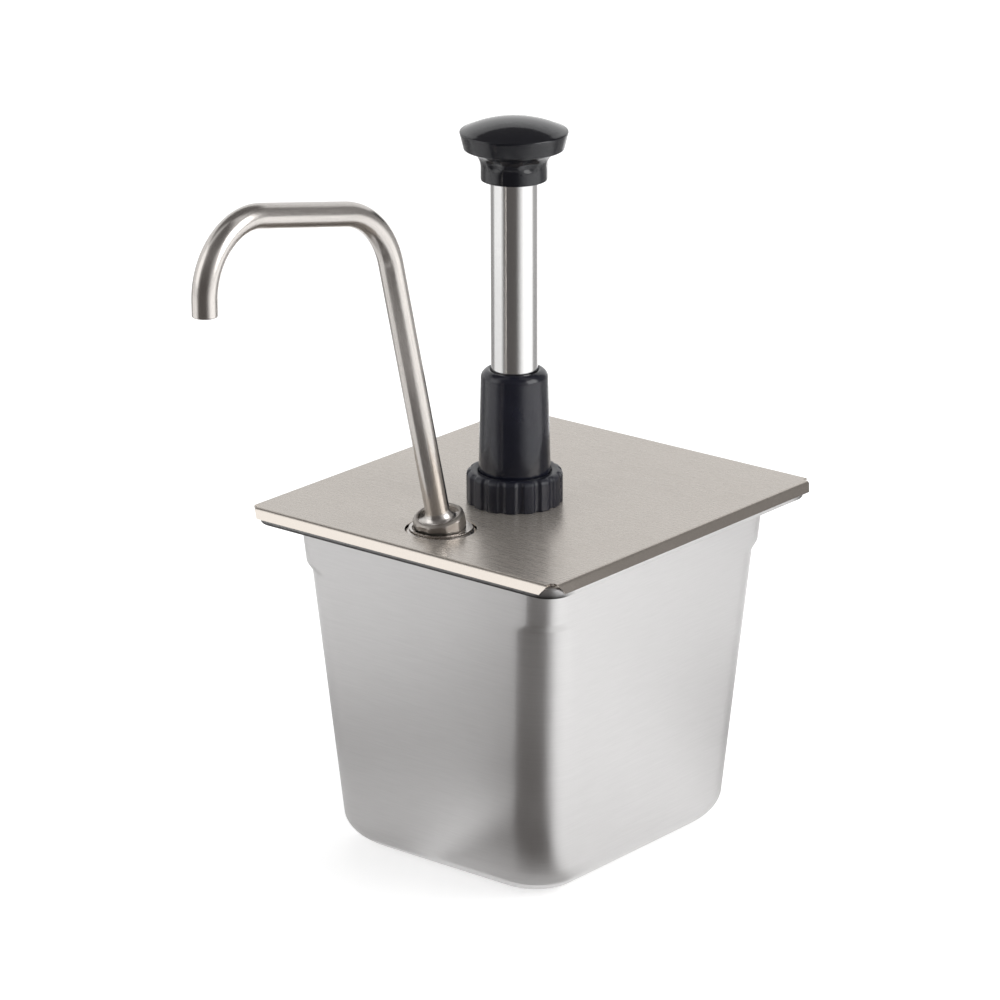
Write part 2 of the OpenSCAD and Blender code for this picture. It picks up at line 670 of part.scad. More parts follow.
module plunger_tube() {
    color(bright_steel) at_pump(piston_top) difference() {
        pipe(plunger_r, plunger_bore_r, tube_top - piston_top);
        translate([0, 0, spigot_l / 2]) rotate([90, 0, 0])
            cylinder(r = piston_pin_r + fit, h = 4 * plunger_r, center = true);
    }
}

module tube_plug() {
    color(steel) at_pump(tube_top - plug_h) difference() {
        cylinder(r = plunger_bore_r - fit, h = plug_h);
        translate([0, 0, plug_h - stud_in_plug]) cylinder(r = stud_r + fit, h = stud_in_plug + 1);
    }
}

module knob_stud() {
    color(steel) at_pump(tube_top - stud_in_plug + play)
        cylinder(r = stud_r, h = stud_in_plug + stud_in_knob - play);
}

// Knob: skirt, hollow neck with finger scoops, slanted band and dome, as one turned profile
module knob() {
    neck_top_h = knob_skirt_h + knob_neck_h;
    band_top_h = neck_top_h + knob_band_h;
    neck_run = knob_under_r - knob_skirt_r;
    slant = atan2(knob_r - knob_under_r, knob_band_h);
    under_edge = 0.6 * break_edge;
    neck = [for (i = [0:8]) let (a = 180 - 90 * i / 8)
        [knob_under_r + neck_run * cos(a), knob_skirt_h + knob_neck_h * sin(a)]];
    dome_low_r = knob_r - knob_edge_r;
    dome_r = (dome_low_r * dome_low_r + knob_dome_h * knob_dome_h) / (2 * knob_dome_h);
    dome_a = asin(dome_low_r / dome_r);
    edge = arc([dome_low_r, band_top_h], knob_edge_r, -slant, 90 - dome_a, 5);
    lift = knob_edge_r * cos(dome_a);
    dome = [for (i = [1:10]) let (a = dome_a * (1 - i / 10))
        [dome_r * sin(a), band_top_h + lift + knob_dome_h - dome_r * (1 - cos(a))]];
    color(black_plastic) at_pump(knob_z) difference() {
        rotate_extrude() polygon(concat(
            [[0, 0], [knob_skirt_r - break_edge, 0], [knob_skirt_r, break_edge]], neck,
            [[knob_under_r + under_edge, neck_top_h + under_edge]], edge, dome));
        translate([0, 0, -1]) cylinder(r = plunger_r + fit, h = knob_socket + 1);
        translate([0, 0, knob_socket - 1]) cylinder(r = stud_r + fit, h = stud_in_knob + 1);
        for (k = [0:scoops - 1]) {
            rotate(scoop_turn + 360 * k / scoops)
                translate([knob_skirt_r + scoop_r - scoop_depth, 0, knob_skirt_h + 0.4 * knob_neck_h])
                    sphere(r = scoop_r);
        }
    }
}

module discharge_tube() {
    color(steel) along_outlet(tube_low_s) difference() {
        pipe(tube_r, tube_bore_r, tube_high_s - tube_low_s - play);
        translate([-2 * tube_r, -0.3 * tube_r, -1]) cube([4 * tube_r, 0.6 * tube_r, 0.8 * tube_r + 1]);
    }
}

module tube_o_ring() {
    color(seal_rubber) along_outlet(mouth_s - small_ring_d / 2)
        seal_ring(socket_r + small_ring_d / 2, small_ring_d - play);
}

// Outlet fitting: a level boss free in the lid's hole, with the stem and both sockets on the leaning axis
module outlet_fitting() {
    color(steel) difference() {
        union() {
            difference() {
                translate([spout_x, 0, pan_h - boss_drop])
                    cylinder(r = boss_r, h = boss_drop + lid_t + boss_proud);
                along_outlet(recess_s) cylinder(r = recess_r, h = 4 * nut_h);
            }
            along_outlet(-socket_drop) cylinder(r = socket_r + socket_wall, h = socket_drop + recess_s);
            along_outlet(recess_s - 1) cylinder(r = nut_r - break_edge, h = nut_shoulder_h - play + 1);
            along_outlet(recess_s) cylinder(r = stem_r, h = stem_h - recess_s);
        }
        along_outlet(-socket_drop - 1) cylinder(r = socket_r, h = socket_drop + 1 + tube_high_s);
        along_outlet(-socket_drop) cylinder(r = tube_bore_r, h = socket_drop + stem_h);
        along_outlet(spout_low_s - play) cylinder(r = socket_r, h = stem_h);
        along_outlet(stem_h - small_ring_d) cylinder(r = socket_r + small_ring_d, h = small_ring_d + 1);
    }
}

module union_nut() {
    lip_r = flare_r + 2 * play;
    color(steel) along_outlet(nut_s) difference() {
        intersection() {
            rotate(180 / nut_flats) cylinder(r = nut_r, h = nut_h, $fn = nut_flats);
            rotate_extrude() polygon([[0, 0], [nut_r - break_edge, 0], [nut_r + break_edge, 2 * break_edge],
                [nut_r + break_edge, nut_h - 0.6 * (nut_chamfer + break_edge)], [nut_r - nut_chamfer, nut_h],
                [0, nut_h]]);
        }
        translate([0, 0, -1]) cylinder(r = stem_r + fit, h = lip_s - nut_s + 1);
        translate([0, 0, -1]) cylinder(r = lip_r, h = nut_h + 2);
    }
}

module spout_o_ring() {
    color(seal_rubber) along_outlet(stem_h - small_ring_d / 2)
        seal_ring(socket_r + small_ring_d / 2, small_ring_d - play);
}

// Stations of the spout's centre line above the riser: [x, z, turn from the riser's direction]
first_turn = 90 - lean - arm_rise;
tip_turn = 90 + arm_rise;
function moved(p, turn, x, z) = [p[0] + x * cos(turn) - z * sin(turn), p[1] + x * sin(turn) + z * cos(turn)];
function bend_stations(p, turn, r, a, n) = [for (i = [0:n]) let (b = a * i / n)
    concat(moved(p, turn, -r * (1 - cos(b)), r * sin(b)), [turn + b])];
bend_end = moved([0, riser_l], 0, -bend_r * (1 - cos(first_turn)), bend_r * sin(first_turn));
arm_end = moved(bend_end, first_turn, 0, arm_l);
tip_start = moved(arm_end, first_turn, -tip_bend_r * (1 - cos(tip_turn)), tip_bend_r * sin(tip_turn));
tip_end = moved(tip_start, first_turn + tip_turn, 0, tip_l);
weld_lap = 2;
weld_step = 0.02;
spout_stations = concat([[0, riser_l - weld_lap, 0]],
    bend_stations([0, riser_l], 0, bend_r, first_turn, 8),
    bend_stations(arm_end, first_turn, tip_bend_r, tip_turn, 12),
    [concat(tip_end, [first_turn + tip_turn])]);
tube_sides = 28;
function tube_ring(station, r) = [for (k = [0:tube_sides - 1]) let (b = 360 * k / tube_sides, t = station[2])
    [station[0] + r * cos(b) * cos(t), r * sin(b), station[1] + r * cos(b) * sin(t)]];

// Spout: the turned foot and riser, then the bent run as a hollow sweep that starts inside the riser's wall
module spout_tube() {
    flange_s = stem_h + play;
    run_r = tube_r - weld_step;
    run_bore_r = (tube_bore_r + weld_step) / cos(180 / tube_sides);
    flare_s = lip_s - play;
    flare = [for (i = [0:8]) let (a = 90 * i / 8)
        [tube_r + (flare_r - tube_r) * (1 - sin(a)), flare_s + flare_h * (1 - cos(a))]];
    color(steel) along_outlet(0) {
        rotate_extrude() polygon(concat(
            [[tube_bore_r, spout_low_s], [tube_r, spout_low_s], [tube_r, flange_s],
            [stem_r, flange_s], [stem_r, flare_s]], flare,
            [[tube_r, riser_l], [tube_bore_r, riser_l]]));
        hollow_skin(concat([for (p = spout_stations) tube_ring(p, run_r)],
            [for (p = reversed(spout_stations)) tube_ring(p, run_bore_r)]), tube_sides);
    }
}

pan();
lid_plate();
locking_ring();
guide_sleeve();
wiper_seal();
lid_gasket();
pump_cylinder();
cylinder_o_ring();
pump_foot();
inlet_seat();
seat_o_ring();
inlet_ball();
ball_stop_pin();
outlet_ball();
spring_seat();
return_spring();
piston();
piston_seal();
piston_pin();
plunger_tube();
tube_plug();
knob_stud();
knob();
discharge_tube();
tube_o_ring();
outlet_fitting();
union_nut();
spout_o_ring();
spout_tube();
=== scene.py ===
"""Counter sauce dispenser: fine surfaces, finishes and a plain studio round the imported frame."""
import math

import bpy
import numpy as np
from bpy.props import FloatProperty, FloatVectorProperty, IntProperty, PointerProperty
from mathutils import Matrix, Vector


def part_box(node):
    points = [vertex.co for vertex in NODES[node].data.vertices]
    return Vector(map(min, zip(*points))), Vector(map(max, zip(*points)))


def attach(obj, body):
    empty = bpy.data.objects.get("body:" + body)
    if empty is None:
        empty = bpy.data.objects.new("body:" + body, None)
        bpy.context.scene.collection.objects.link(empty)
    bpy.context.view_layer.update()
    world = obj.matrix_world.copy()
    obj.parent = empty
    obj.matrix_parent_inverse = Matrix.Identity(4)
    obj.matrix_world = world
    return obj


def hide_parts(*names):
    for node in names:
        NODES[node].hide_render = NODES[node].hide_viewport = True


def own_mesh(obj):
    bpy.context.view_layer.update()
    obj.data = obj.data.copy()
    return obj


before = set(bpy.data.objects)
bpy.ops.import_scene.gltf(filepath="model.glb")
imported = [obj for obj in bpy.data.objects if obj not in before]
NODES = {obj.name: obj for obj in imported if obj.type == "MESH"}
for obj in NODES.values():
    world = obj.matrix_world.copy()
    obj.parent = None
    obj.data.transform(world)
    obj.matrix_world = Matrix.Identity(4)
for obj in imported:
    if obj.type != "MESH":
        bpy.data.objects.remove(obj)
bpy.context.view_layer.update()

bl_info = {
    "name": "Sauce dispenser",
    "version": (1, 0, 0),
    "blender": (4, 5, 0),
    "location": "View3D > Sidebar > Dispenser",
    "description": "Builds the surfaces and finishes of a counter sauce dispenser on its packed frame",
    "category": "Object",
}

MM = 0.001

# Union nut: share of its radius left at its broken corners, and cones of (millimetres from an end, share)
NUT_CORNER = 0.985
NUT_FOOT = ((0, 0.94), (0.15, 0.965), (0.6, 1.02))
NUT_HEAD = ((1.3, 1.02), (0.75, 0.955), (0.3, 0.90), (0.08, 0.872), (0, 0.85))

# Soft lights: angle from the camera's side and rise in degrees, distance and size in metres, power in watts,
# and whether shiny surfaces mirror them
LIGHTS = (
    ("soft_right", 68, 24, 1.35, 0.95, 8.0, True),
    ("soft_left", -74, 26, 1.35, 0.95, 2.0, True),
    ("soft_top", 170, 68, 1.5, 1.1, 5.0, False),
)


def on_floor(height, *steps):
    """Path of a flag that lies at one height: (reach, level) steps as (reach, height, level)."""
    return tuple((reach, height, level) for reach, level in steps)


# Dark flags: lobes of (middle, half width, softness, depth), with angles in degrees from the camera's side,
# and a path of (reach, height, level) in metres. Flags that lie over each other on the floor have heights of
# their own.
FLAGS = (
    ("flag_foot", ((-12, 20, 13, 0.95), (-8, 6, 28, 0.95)),
     on_floor(0.007, (0.06, 0.2), (0.085, 0.6), (0.105, 1), (0.125, 1), (0.15, 0))),
    ("flag_front_near", ((-20, 25, 11, 0.95), (-10, 10, 32, 0.95)),
     on_floor(0.0085, (0.11, 0), (0.145, 1), (0.19, 1), (0.24, 0))),
    ("flag_front_mid", ((-22, 30, 13, 0.94), (-8, 10, 36, 0.94)),
     on_floor(0.0095, (0.18, 0), (0.235, 1), (0.315, 1), (0.36, 0.45), (0.4, 0))),
    ("flag_front", ((-25, 20, 26, 0.96), (-2, 6, 44, 0.95)),
     on_floor(0.011, (0.345, 0), (0.405, 1), (0.9, 1))
     + ((1.1, 0.05, 1), (1.15, 0.4, 1), (1.16, 1.0, 0.9))),
    ("flag_over_front", ((-6, 40, 50, 0.92),),
     ((1.17, 1.0, 0.9), (1.0, 1.3, 0.95), (0.6, 1.6, 1), (0.2, 1.7, 1), (0.02, 1.7, 1))),
    ("flag_over_back", ((180, 60, 50, 0.9), (-180, 60, 50, 0.9)),
     ((0.02, 1.7, 1), (0.6, 1.6, 1), (1.0, 1.38, 1), (1.12, 1.275, 1), (1.16, 1.235, 0.3), (1.4, 1.02, 0))),
    ("flag_sides", ((-96, 34, 24, 0.54), (116, 6, 26, 0.52)),
     on_floor(0.005, (0.05, 0.64), (0.09, 0.64), (0.12, 0.7), (0.155, 1), (0.19, 0.95), (0.24, 0.64),
              (0.3, 0.42), (0.5, 0.34), (0.9, 0.15))),
    ("flag_far", ((-138, 14, 20, 0.68), (124, 14, 18, 0.62)),
     on_floor(0.003, (0.35, 0), (0.5, 1), (0.95, 1)) + ((1.12, 0.06, 1), (1.18, 0.3, 0))),
    ("flag_right", ((110, 18, 16, 0.76),),
     ((1.1, 0.12, 0), (1.1, 0.26, 1), (1.1, 0.7, 1), (1.05, 1.1, 1), (0.95, 1.4, 0))),
)


def length(name, description, mm):
    """A length property whose default is given in millimetres."""
    return FloatProperty(name=name, description=description, default=mm * MM, unit="LENGTH", precision=5)


def turn(name, description, degrees):
    """An angle property whose default is given in degrees."""
    return FloatProperty(name=name, description=description, default=math.radians(degrees), subtype="ANGLE")


def count(name, description, number):
    """A whole-number property."""
    return IntProperty(name=name, description=description, default=number, min=3)


def ratio(name, description, value, most=1):
    """A plain ratio from 0 to a highest value."""
    return FloatProperty(name=name, description=description, default=value, min=0, max=most,
                         subtype="FACTOR")


def tone(name, description, rgb):
    """A colour property in linear values."""
    return FloatVectorProperty(name=name, description=description, default=rgb, size=3, min=0, max=1,
                               subtype="COLOR")


class PanSizes(bpy.types.PropertyGroup):
    """Sizes of the drawn food pan."""
    sheet: length("Sheet", "Thickness of the pan's sheet", 0.9)
    rim_width: length("Rim width", "Width of the flat rim, from the wall to its outer edge", 11)
    draft: turn("Draft", "Slope of the walls", 4.4)
    rim_corner: length("Rim corner", "Corner radius of the rim", 10)
    upper_corner: length("Upper corner", "Corner radius of the walls above the shoulder", 12)
    lower_corner: length("Lower corner", "Corner radius of the walls below the shoulder", 17)
    base_corner: length("Base corner", "Corner radius of the flat base", 18)
    shoulder_drop: length("Shoulder drop", "Depth of the stacking shoulder below the rim", 23.5)
    shoulder_height: length("Shoulder height", "Height over which the shoulder blends into the walls", 5)
    base_round: length("Base round", "Radius between the walls and the base", 15.5)
    rim_bend: length("Rim bend", "Radius where the wall turns out into the rim", 3.4)
    rim_edge: length("Rim edge", "Radius of the rim's outer edge", 2.4)
    lip: length("Lip", "Depth of the rim's turned-down lip", 5.9)


class SpoutSizes(bpy.types.PropertyGroup):
    """Sizes of the bent spout and its union nut."""
    foot_x: length("Foot", "Place of the spout's foot along X", -60.8)
    foot_z: length("Lid top", "Height of the lid's top", 153)
    lean: turn("Lean", "Lean of the riser and of the union", 13.9602)
    tube: length("Tube radius", "Outside radius of the spout", 5.1)
    wall: length("Wall", "Wall of the spout's tube", 1)
    low: length("Lower end", "Start of the tube inside the fitting, along the riser", 0.97)
    flange_low: length("Flange underside", "Underside of the clamped flange, along the riser", 4.9)
    flange_top: length("Flange top", "Top of the clamped flange, along the riser", 5.8)
    flange: length("Flange radius", "Radius of the clamped flange", 9.1)
    flare: length("Flare radius", "Radius of the flared foot", 8.3)
    flare_height: length("Flare height", "Height of the flared foot", 4.4)
    riser: length("Riser", "Length of the riser above the lid's top", 123.4)
    bend: length("First bend", "Radius of the first bend's centre line", 35.5)
    arm_rise: turn("Arm rise", "Rise of the arm above the level", 11.2)
    arm: length("Arm", "Length of the straight arm", 50.5)
    tip_bend: length("Second bend", "Radius of the second bend's centre line", 27.2)
    tip: length("Tip", "Length of the straight tip", 6.4)
    nut_low: length("Nut underside", "Underside of the union nut, along the riser", 0.5)
    nut_height: length("Nut height", "Height of the union nut", 6.4)
    nut: length("Nut radius", "Radius of the nut over its corners", 11)
    nut_mouth: length("Nut mouth", "Radius of the nut's mouth round the flare", 8.5)
    nut_thread: length("Nut thread", "Radius of the nut's thread", 9.15)
    nut_lip: length("Nut lip", "Thickness of the nut's lip over the spout's flange", 1)
    nut_flats: count("Nut flats", "Count of flats on the nut", 10)
    boss: length("Boss radius", "Radius of the fitting's boss in the lid's hole", 13.2)
    collar: length("Collar radius", "Outer radius of the collar below the boss's rim", 14.5)


class PumpSizes(bpy.types.PropertyGroup):
    """Sizes of the locking ring, the guide sleeve and the plunger tube."""
    axis_x: length("Axis", "Place of the pump's axis along X", -12.5)
    ring: length("Ring radius", "Radius of the locking ring over its lobes", 20.2)
    ring_height: length("Ring height", "Height of the locking ring", 13.6)
    ring_round: length("Ring round", "Round at the ring's top edge", 2.2)
    ring_lobes: count("Ring lobes", "Count of lobes round the ring", 16)
    groove_depth: length("Groove depth", "Depth of the grooves between the lobes", 0.91)
    neck: length("Neck radius", "Radius of the neck inside the ring", 17.4)
    neck_height: length("Neck height", "Height of the neck above the lid", 9)
    sleeve_height: length("Sleeve height", "Height of the sleeve's top above the lid", 57.5)
    sleeve_flange: length("Sleeve flange", "Thickness of the sleeve's base flange", 2)
    sleeve_low: length("Sleeve foot", "Radius of the sleeve where it leaves the ring", 15.2)
    sleeve_top: length("Sleeve top", "Radius of the sleeve under its rounded top", 14.1)
    sleeve_round: length("Sleeve round", "Radius of the sleeve's rounded top edge", 3.8)
    sleeve_skirt: length("Sleeve skirt", "Length of the sleeve's skirt below the neck's top", 18.2)
    skirt: length("Skirt radius", "Radius of the sleeve's skirt", 12.5)
    guide: length("Guide radius", "Radius of the guide bore", 9.85)
    plunger: length("Plunger radius", "Outside radius of the plunger tube", 9.8)
    plunger_wall: length("Plunger wall", "Wall of the plunger tube", 1.2)
    coil: length("Coil radius", "Radius of the return spring's centre line", 10.1)
    wire: length("Wire", "Diameter of the return spring's wire", 1.8)
    closed_gap: length("Closed gap", "Gap between the closed turns at the spring's ends", 0.6)
    coil_turns: count("Coil turns", "Turns of the return spring", 9)


class KnobSizes(bpy.types.PropertyGroup):
    """Sizes of the push knob."""
    rim: length("Rim radius", "Radius of the knob's rim", 22.4)
    under: length("Underside radius", "Radius of the knob's underside edge", 20.6)
    skirt: length("Skirt radius", "Radius of the knob's skirt", 13.8)
    skirt_height: length("Skirt height", "Height of the skirt", 4.4)
    neck_height: length("Neck height", "Height of the hollow neck", 8.6)
    band_height: length("Band height", "Height of the slanted rim band", 6.8)
    dome_height: length("Dome height", "Rise of the domed top", 5)
    edge: length("Edge round", "Round between band and dome", 0.8)
    socket: length("Socket radius", "Radius of the plunger's socket", 9.85)
    socket_depth: length("Socket depth", "Depth of the plunger's socket", 14)
    scoops: count("Scoops", "Count of finger scoops", 6)
    scoop_turn: turn("Scoop turn", "Turn of the finger scoops about the axis", 5)
    scoop: length("Scoop radius", "Radius of each finger scoop", 10.5)
    scoop_depth: length("Scoop depth", "Depth of each finger scoop into the neck", 0.5)
    scoop_flat: ratio("Scoop flatness", "Width of a scoop over its height", 1.85, most=4)
    ridge: length("Ridge round", "Softness of the ridges between the scoops", 0.22)


class Finishes(bpy.types.PropertyGroup):
    """Colours of the metals, plastics and rubber."""
    pan_steel: tone("Pan steel", "Satin drawn steel of the pan", (0.584, 0.576, 0.573))
    lid_steel: tone("Lid steel", "Brushed steel of the lid", (0.530, 0.487, 0.442))
    tube_steel: tone("Tube steel", "Brushed steel of the spout", (0.574, 0.544, 0.517))
    nut_steel: tone("Nut steel", "Dull steel of the union nut", (0.36, 0.332, 0.306))
    polished_steel: tone("Polished steel", "Polished steel of the plunger", (0.64, 0.635, 0.63))
    black_plastic: tone("Black plastic", "Moulded black plastic", (0.0080, 0.0090, 0.0170))
    knob_plastic: tone("Knob plastic", "Glossy black plastic of the knob", (0.0045, 0.0050, 0.0082))
    white_plastic: tone("White plastic", "White plastic of the piston", (0.80, 0.79, 0.75))
    rubber: tone("Rubber", "Black rubber of the seals", (0.02, 0.02, 0.022))


class StageSizes(bpy.types.PropertyGroup):
    """Camera and light of the plain studio."""
    lens: FloatProperty(name="Lens", description="Focal length", default=175.64, min=1, unit="CAMERA")
    azimuth: turn("Azimuth", "Camera's turn about the object", -50.66)
    elevation: turn("Elevation", "Camera's height above the level", 18.49)
    roll: turn("Roll", "Camera's roll", -0.18)
    distance: length("Distance", "Camera's distance from the lid's centre", 2054.5)
    slide_right: length("Slide right", "Camera's slide to the right", -14.09)
    slide_up: length("Slide up", "Camera's slide upwards", -3.3)
    fill: ratio("Fill", "Strength of the even light from all sides", 0.55)


class DispenserSettings(bpy.types.PropertyGroup):
    """Everything that can be set on the dispenser."""
    pan: PointerProperty(type=PanSizes)
    spout: PointerProperty(type=SpoutSizes)
    pump: PointerProperty(type=PumpSizes)
    knob: PointerProperty(type=KnobSizes)
    finishes: PointerProperty(type=Finishes)
    stage: PointerProperty(type=StageSizes)


# Surfaces

def arc(cx, cz, r, start, end, steps):
    """Points (cx + r cos a, cz + r sin a) with a from start to end degrees."""
    a = np.radians(np.linspace(start, end, steps + 1))
    return np.stack([cx + r * np.cos(a), cz + r * np.sin(a)], 1)


def full_turn(steps):
    """Angles of a full turn, without its end."""
    return np.linspace(0, 2 * math.pi, steps, endpoint=False)


def round_axis(axis_x, r, a, z):
    """Grid of points (axis_x + r cos a, r sin a, z) about the vertical axis at axis_x."""
    return np.stack(np.broadcast_arrays(axis_x + r * np.cos(a), r * np.sin(a), z), -1)


def smooth(x):
    """Smooth step 3x^2 - 2x^3 from 0 to 1."""
    x = np.clip(x, 0, 1)
    return x * x * (3 - 2 * x)


def grid_quads(rows, cols, wrap_rows):
    """Quads over a grid of rows by cols points whose columns join round, and its rows too if asked."""
    i = np.arange(rows if wrap_rows else rows - 1)[:, None]
    j = np.arange(cols)[None, :]
    i_next, j_next = (i + 1) % rows, (j + 1) % cols
    corners = (i * cols + j, i * cols + j_next, i_next * cols + j_next, i_next * cols + j)
    return np.stack(np.broadcast_arrays(*corners), -1).reshape(-1, 4)


def painted(mesh, name, kind, values):
    """A mesh's own attribute, with a number or a vector for each of its points."""
    field = "vector" if kind == "FLOAT_VECTOR" else "value"
    mesh.attributes.new(name, kind, "POINT").data.foreach_set(field, values.reshape(-1).astype(np.float32))


def placed(name, data):
    """New object of a mesh, a light or a camera in the scene."""
    made = bpy.data.objects.new(name, data)
    bpy.context.scene.collection.objects.link(made)
    return made


def outward(points, quads):
    """Quads turned so that the volume sum of (a x b . c) / 6 over their triangles is positive."""
    a, b, c, d = (points[quads[:, k]] for k in range(4))
    volume = (np.cross(a, b) * c).sum() + (np.cross(a, c) * d).sum()
    return quads if volume > 0 else quads[:, ::-1]


def surface(name, grid, wrap_rows, flow=None, edge=None, sharp=35):
    """Object from a grid of points: joined round its columns, and closed by caps or by joining its rows."""
    rows, cols = grid.shape[:2]
    points = grid.reshape(-1, 3)
    quads = outward(points, grid_quads(rows, cols, wrap_rows))
    faces = quads.tolist()
    if not wrap_rows:
        flip = (quads[0] != grid_quads(rows, cols, False)[0]).any()
        low, high = list(range(cols)), list(range((rows - 1) * cols, rows * cols))
        faces += [low, high[::-1]] if flip else [low[::-1], high]
    mesh = bpy.data.meshes.new(name)
    mesh.from_pydata(points.tolist(), [], faces)
    mesh.shade_smooth()
    mesh.set_sharp_from_angle(angle=math.radians(sharp))
    if flow is not None:
        painted(mesh, "flow", "FLOAT_VECTOR", flow)
    # The edge attribute is a mask of painted shade, which the steel darkens where it is 1.
    if edge is not None:
        painted(mesh, "edge", "FLOAT", edge)
    mesh.update()
    return placed(name, mesh)


def turned(profile, steps, axis_x):
    """Profile points (r, z) carried round the vertical axis at axis_x."""
    return round_axis(axis_x, profile[:, :1], full_turn(steps), profile[:, 1:])


def fitted(piece, body, slot, material, *nodes):
    """The piece rides on its body, takes the given finish and stands for CAD nodes, if there are any. The
    slot is not used.
    """
    piece.data.materials.append(material)
    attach(piece, body)
    if nodes:
        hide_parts(*nodes)


def between(start, end, steps):
    """Straight run of points from start to end, without the last one."""
    t = np.linspace(0, 1, steps, endpoint=False)[:, None]
    return np.asarray(start) * (1 - t) + np.asarray(end) * t


def pan_profile(p, height):
    """Rings of (offset from the wall line at the rim, corner radius, height), up to the rim and back inside.

    The base round is an arc of radius R about a centre inside the wall. Its corner radius goes from the
    base's to the wall's with cos of its angle. The shoulder blends the wall's corners by a smooth step."""
    slope, t = math.tan(p.draft), p.sheet
    degrees = math.degrees(p.draft)
    base_top = p.base_round * (1 - math.sin(p.draft))
    base_mid = -(height - base_top) * slope - p.base_round * math.cos(p.draft)
    shoulder_low = height - p.shoulder_drop - p.shoulder_height
    bend_z = height - p.rim_bend
    under = p.rim_bend - t
    bend_mid = -(height - bend_z) * slope + under / math.cos(p.draft)

    def base(r):
        a = np.radians(np.linspace(-90, -degrees, 25))
        corner = p.base_corner + (p.lower_corner - p.base_corner - p.base_round + r) * np.cos(a)
        return np.stack([base_mid + r * np.cos(a), corner, p.base_round + r * np.sin(a)], 1)

    def wall(inset):
        z = np.concatenate([np.linspace(base_top, shoulder_low, 14)[1:-1],
                            np.linspace(shoulder_low, height - p.shoulder_drop, 25),
                            np.linspace(height - p.shoulder_drop, bend_z, 5)[1:-1]])
        blend = smooth((z - shoulder_low) / p.shoulder_height)
        corner = p.lower_corner + (p.upper_corner - p.lower_corner) * blend
        return np.stack([-(height - z) * slope - inset / math.cos(p.draft), corner - inset, z], 1)

    def bend(r):
        a = np.radians(np.linspace(180 - degrees, 90, 9))
        corner = 0 * a + p.upper_corner + under - r
        return np.stack([bend_mid + r * np.cos(a), corner, bend_z + r * np.sin(a)], 1)

    def edge(r):
        a = np.radians(np.linspace(90, 0, 9))
        return np.stack([p.rim_width - p.rim_edge + r * np.cos(a), 0 * a + p.rim_corner - p.rim_edge + r,
                         height - p.rim_edge + r * np.sin(a)], 1)

    a = np.radians(np.linspace(180, 360, 7))
    lip_mid = p.rim_width - t / 2
    lip = np.stack([lip_mid + t / 2 * np.cos(a), p.rim_corner - t / 2 + t / 2 * np.cos(a),
                    height - p.lip + t / 2 + t / 2 * np.sin(a)], 1)
    outer = [base(p.base_round), wall(0), bend(under), edge(p.rim_edge - t)]
    inner = [edge(p.rim_edge), bend(p.rim_bend), wall(t), base(p.base_round - t)]
    return np.concatenate([*outer, lip, *(run[::-1] for run in inner)])


def rounded_loops(half_length, half_width, corner, height, steps=14):
    """One rounded rectangle for each ring: corner arcs about (l - r, w - r), with stops along the sides."""
    l, w, r, z = (np.asarray(v)[:, None] for v in (half_length, half_width, corner, height))
    signs = ((1, 1), (-1, 1), (-1, -1), (1, -1))
    stops = np.array([0.03, 0.12, 0.3, 0.5, 0.7, 0.88, 0.97])
    runs = []
    for k in range(4):
        a = np.radians(np.linspace(90 * k, 90 * k + 90, steps + 1))
        sx, sy = signs[k]
        nx, ny = signs[(k + 1) % 4]
        arc_x, arc_y = sx * (l - r) + r * np.cos(a), sy * (w - r) + r * np.sin(a)
        next_x = nx * (l - r) + r * math.cos(math.radians(90 * k + 90))
        next_y = ny * (w - r) + r * math.sin(math.radians(90 * k + 90))
        side_x = arc_x[:, -1:] * (1 - stops) + next_x * stops
        side_y = arc_y[:, -1:] * (1 - stops) + next_y * stops
        runs += [np.stack([arc_x, arc_y, z + 0 * a], -1), np.stack([side_x, side_y, z + 0 * stops], -1)]
    return np.concatenate(runs, 1)


def spout_line(p):
    """Stations (x, z, direction) of the spout's centre line and its length, from foot to tip.

    The direction is the lean from +Z towards -X. A bend of radius R turns it by its angle along an arc."""
    first, second = math.pi / 2 - p.lean - p.arm_rise, math.pi / 2 + p.arm_rise
    x, z, d = p.foot_x, p.foot_z, p.lean
    xs, zs, ds, ss = [np.array([x])], [np.array([z])], [np.array([d])], [np.array([0.0])]

    def straight(run, steps):
        t = np.linspace(0, run, steps + 1)[1:]
        add(x - t * math.sin(d), z + t * math.cos(d), d + 0 * t, t)

    def bent(radius, angle, steps):
        nonlocal d
        b = np.linspace(0, angle, steps + 1)[1:]
        across, rise = math.cos(d) - np.cos(d + b), np.sin(d + b) - math.sin(d)
        add(x - radius * across, z + radius * rise, d + b, radius * b)
        d += angle

    def add(px, pz, pd, run):
        nonlocal x, z
        ss.append(ss[-1][-1] + run)
        xs.append(px)
        zs.append(pz)
        ds.append(pd)
        x, z = px[-1], pz[-1]

    straight(p.riser, 60)
    bent(p.bend, first, 40)
    straight(p.arm, 12)
    bent(p.tip_bend, second, 56)
    straight(p.tip, 8)
    return tuple(np.concatenate(v) for v in (xs, zs, ds, ss))


def carried(s, r, line, steps):
    """Circles of radius r at lengths s along the centre line: their grid and its straightened coordinates."""
    xs, zs, ds, ss = line
    x, z, d = (np.interp(s, ss, v)[:, None] for v in (xs, zs, ds))
    below = np.minimum(s, 0)[:, None]
    x, z = x - below * np.sin(d), z + below * np.cos(d)
    a = full_turn(steps)
    r = r[:, None]
    grid = np.stack([x + r * np.cos(a) * np.cos(d), r * np.sin(a) + 0 * x, z + r * np.cos(a) * np.sin(d)], -1)
    return grid, round_axis(0, r, a, s[:, None])


# Node groups and materials

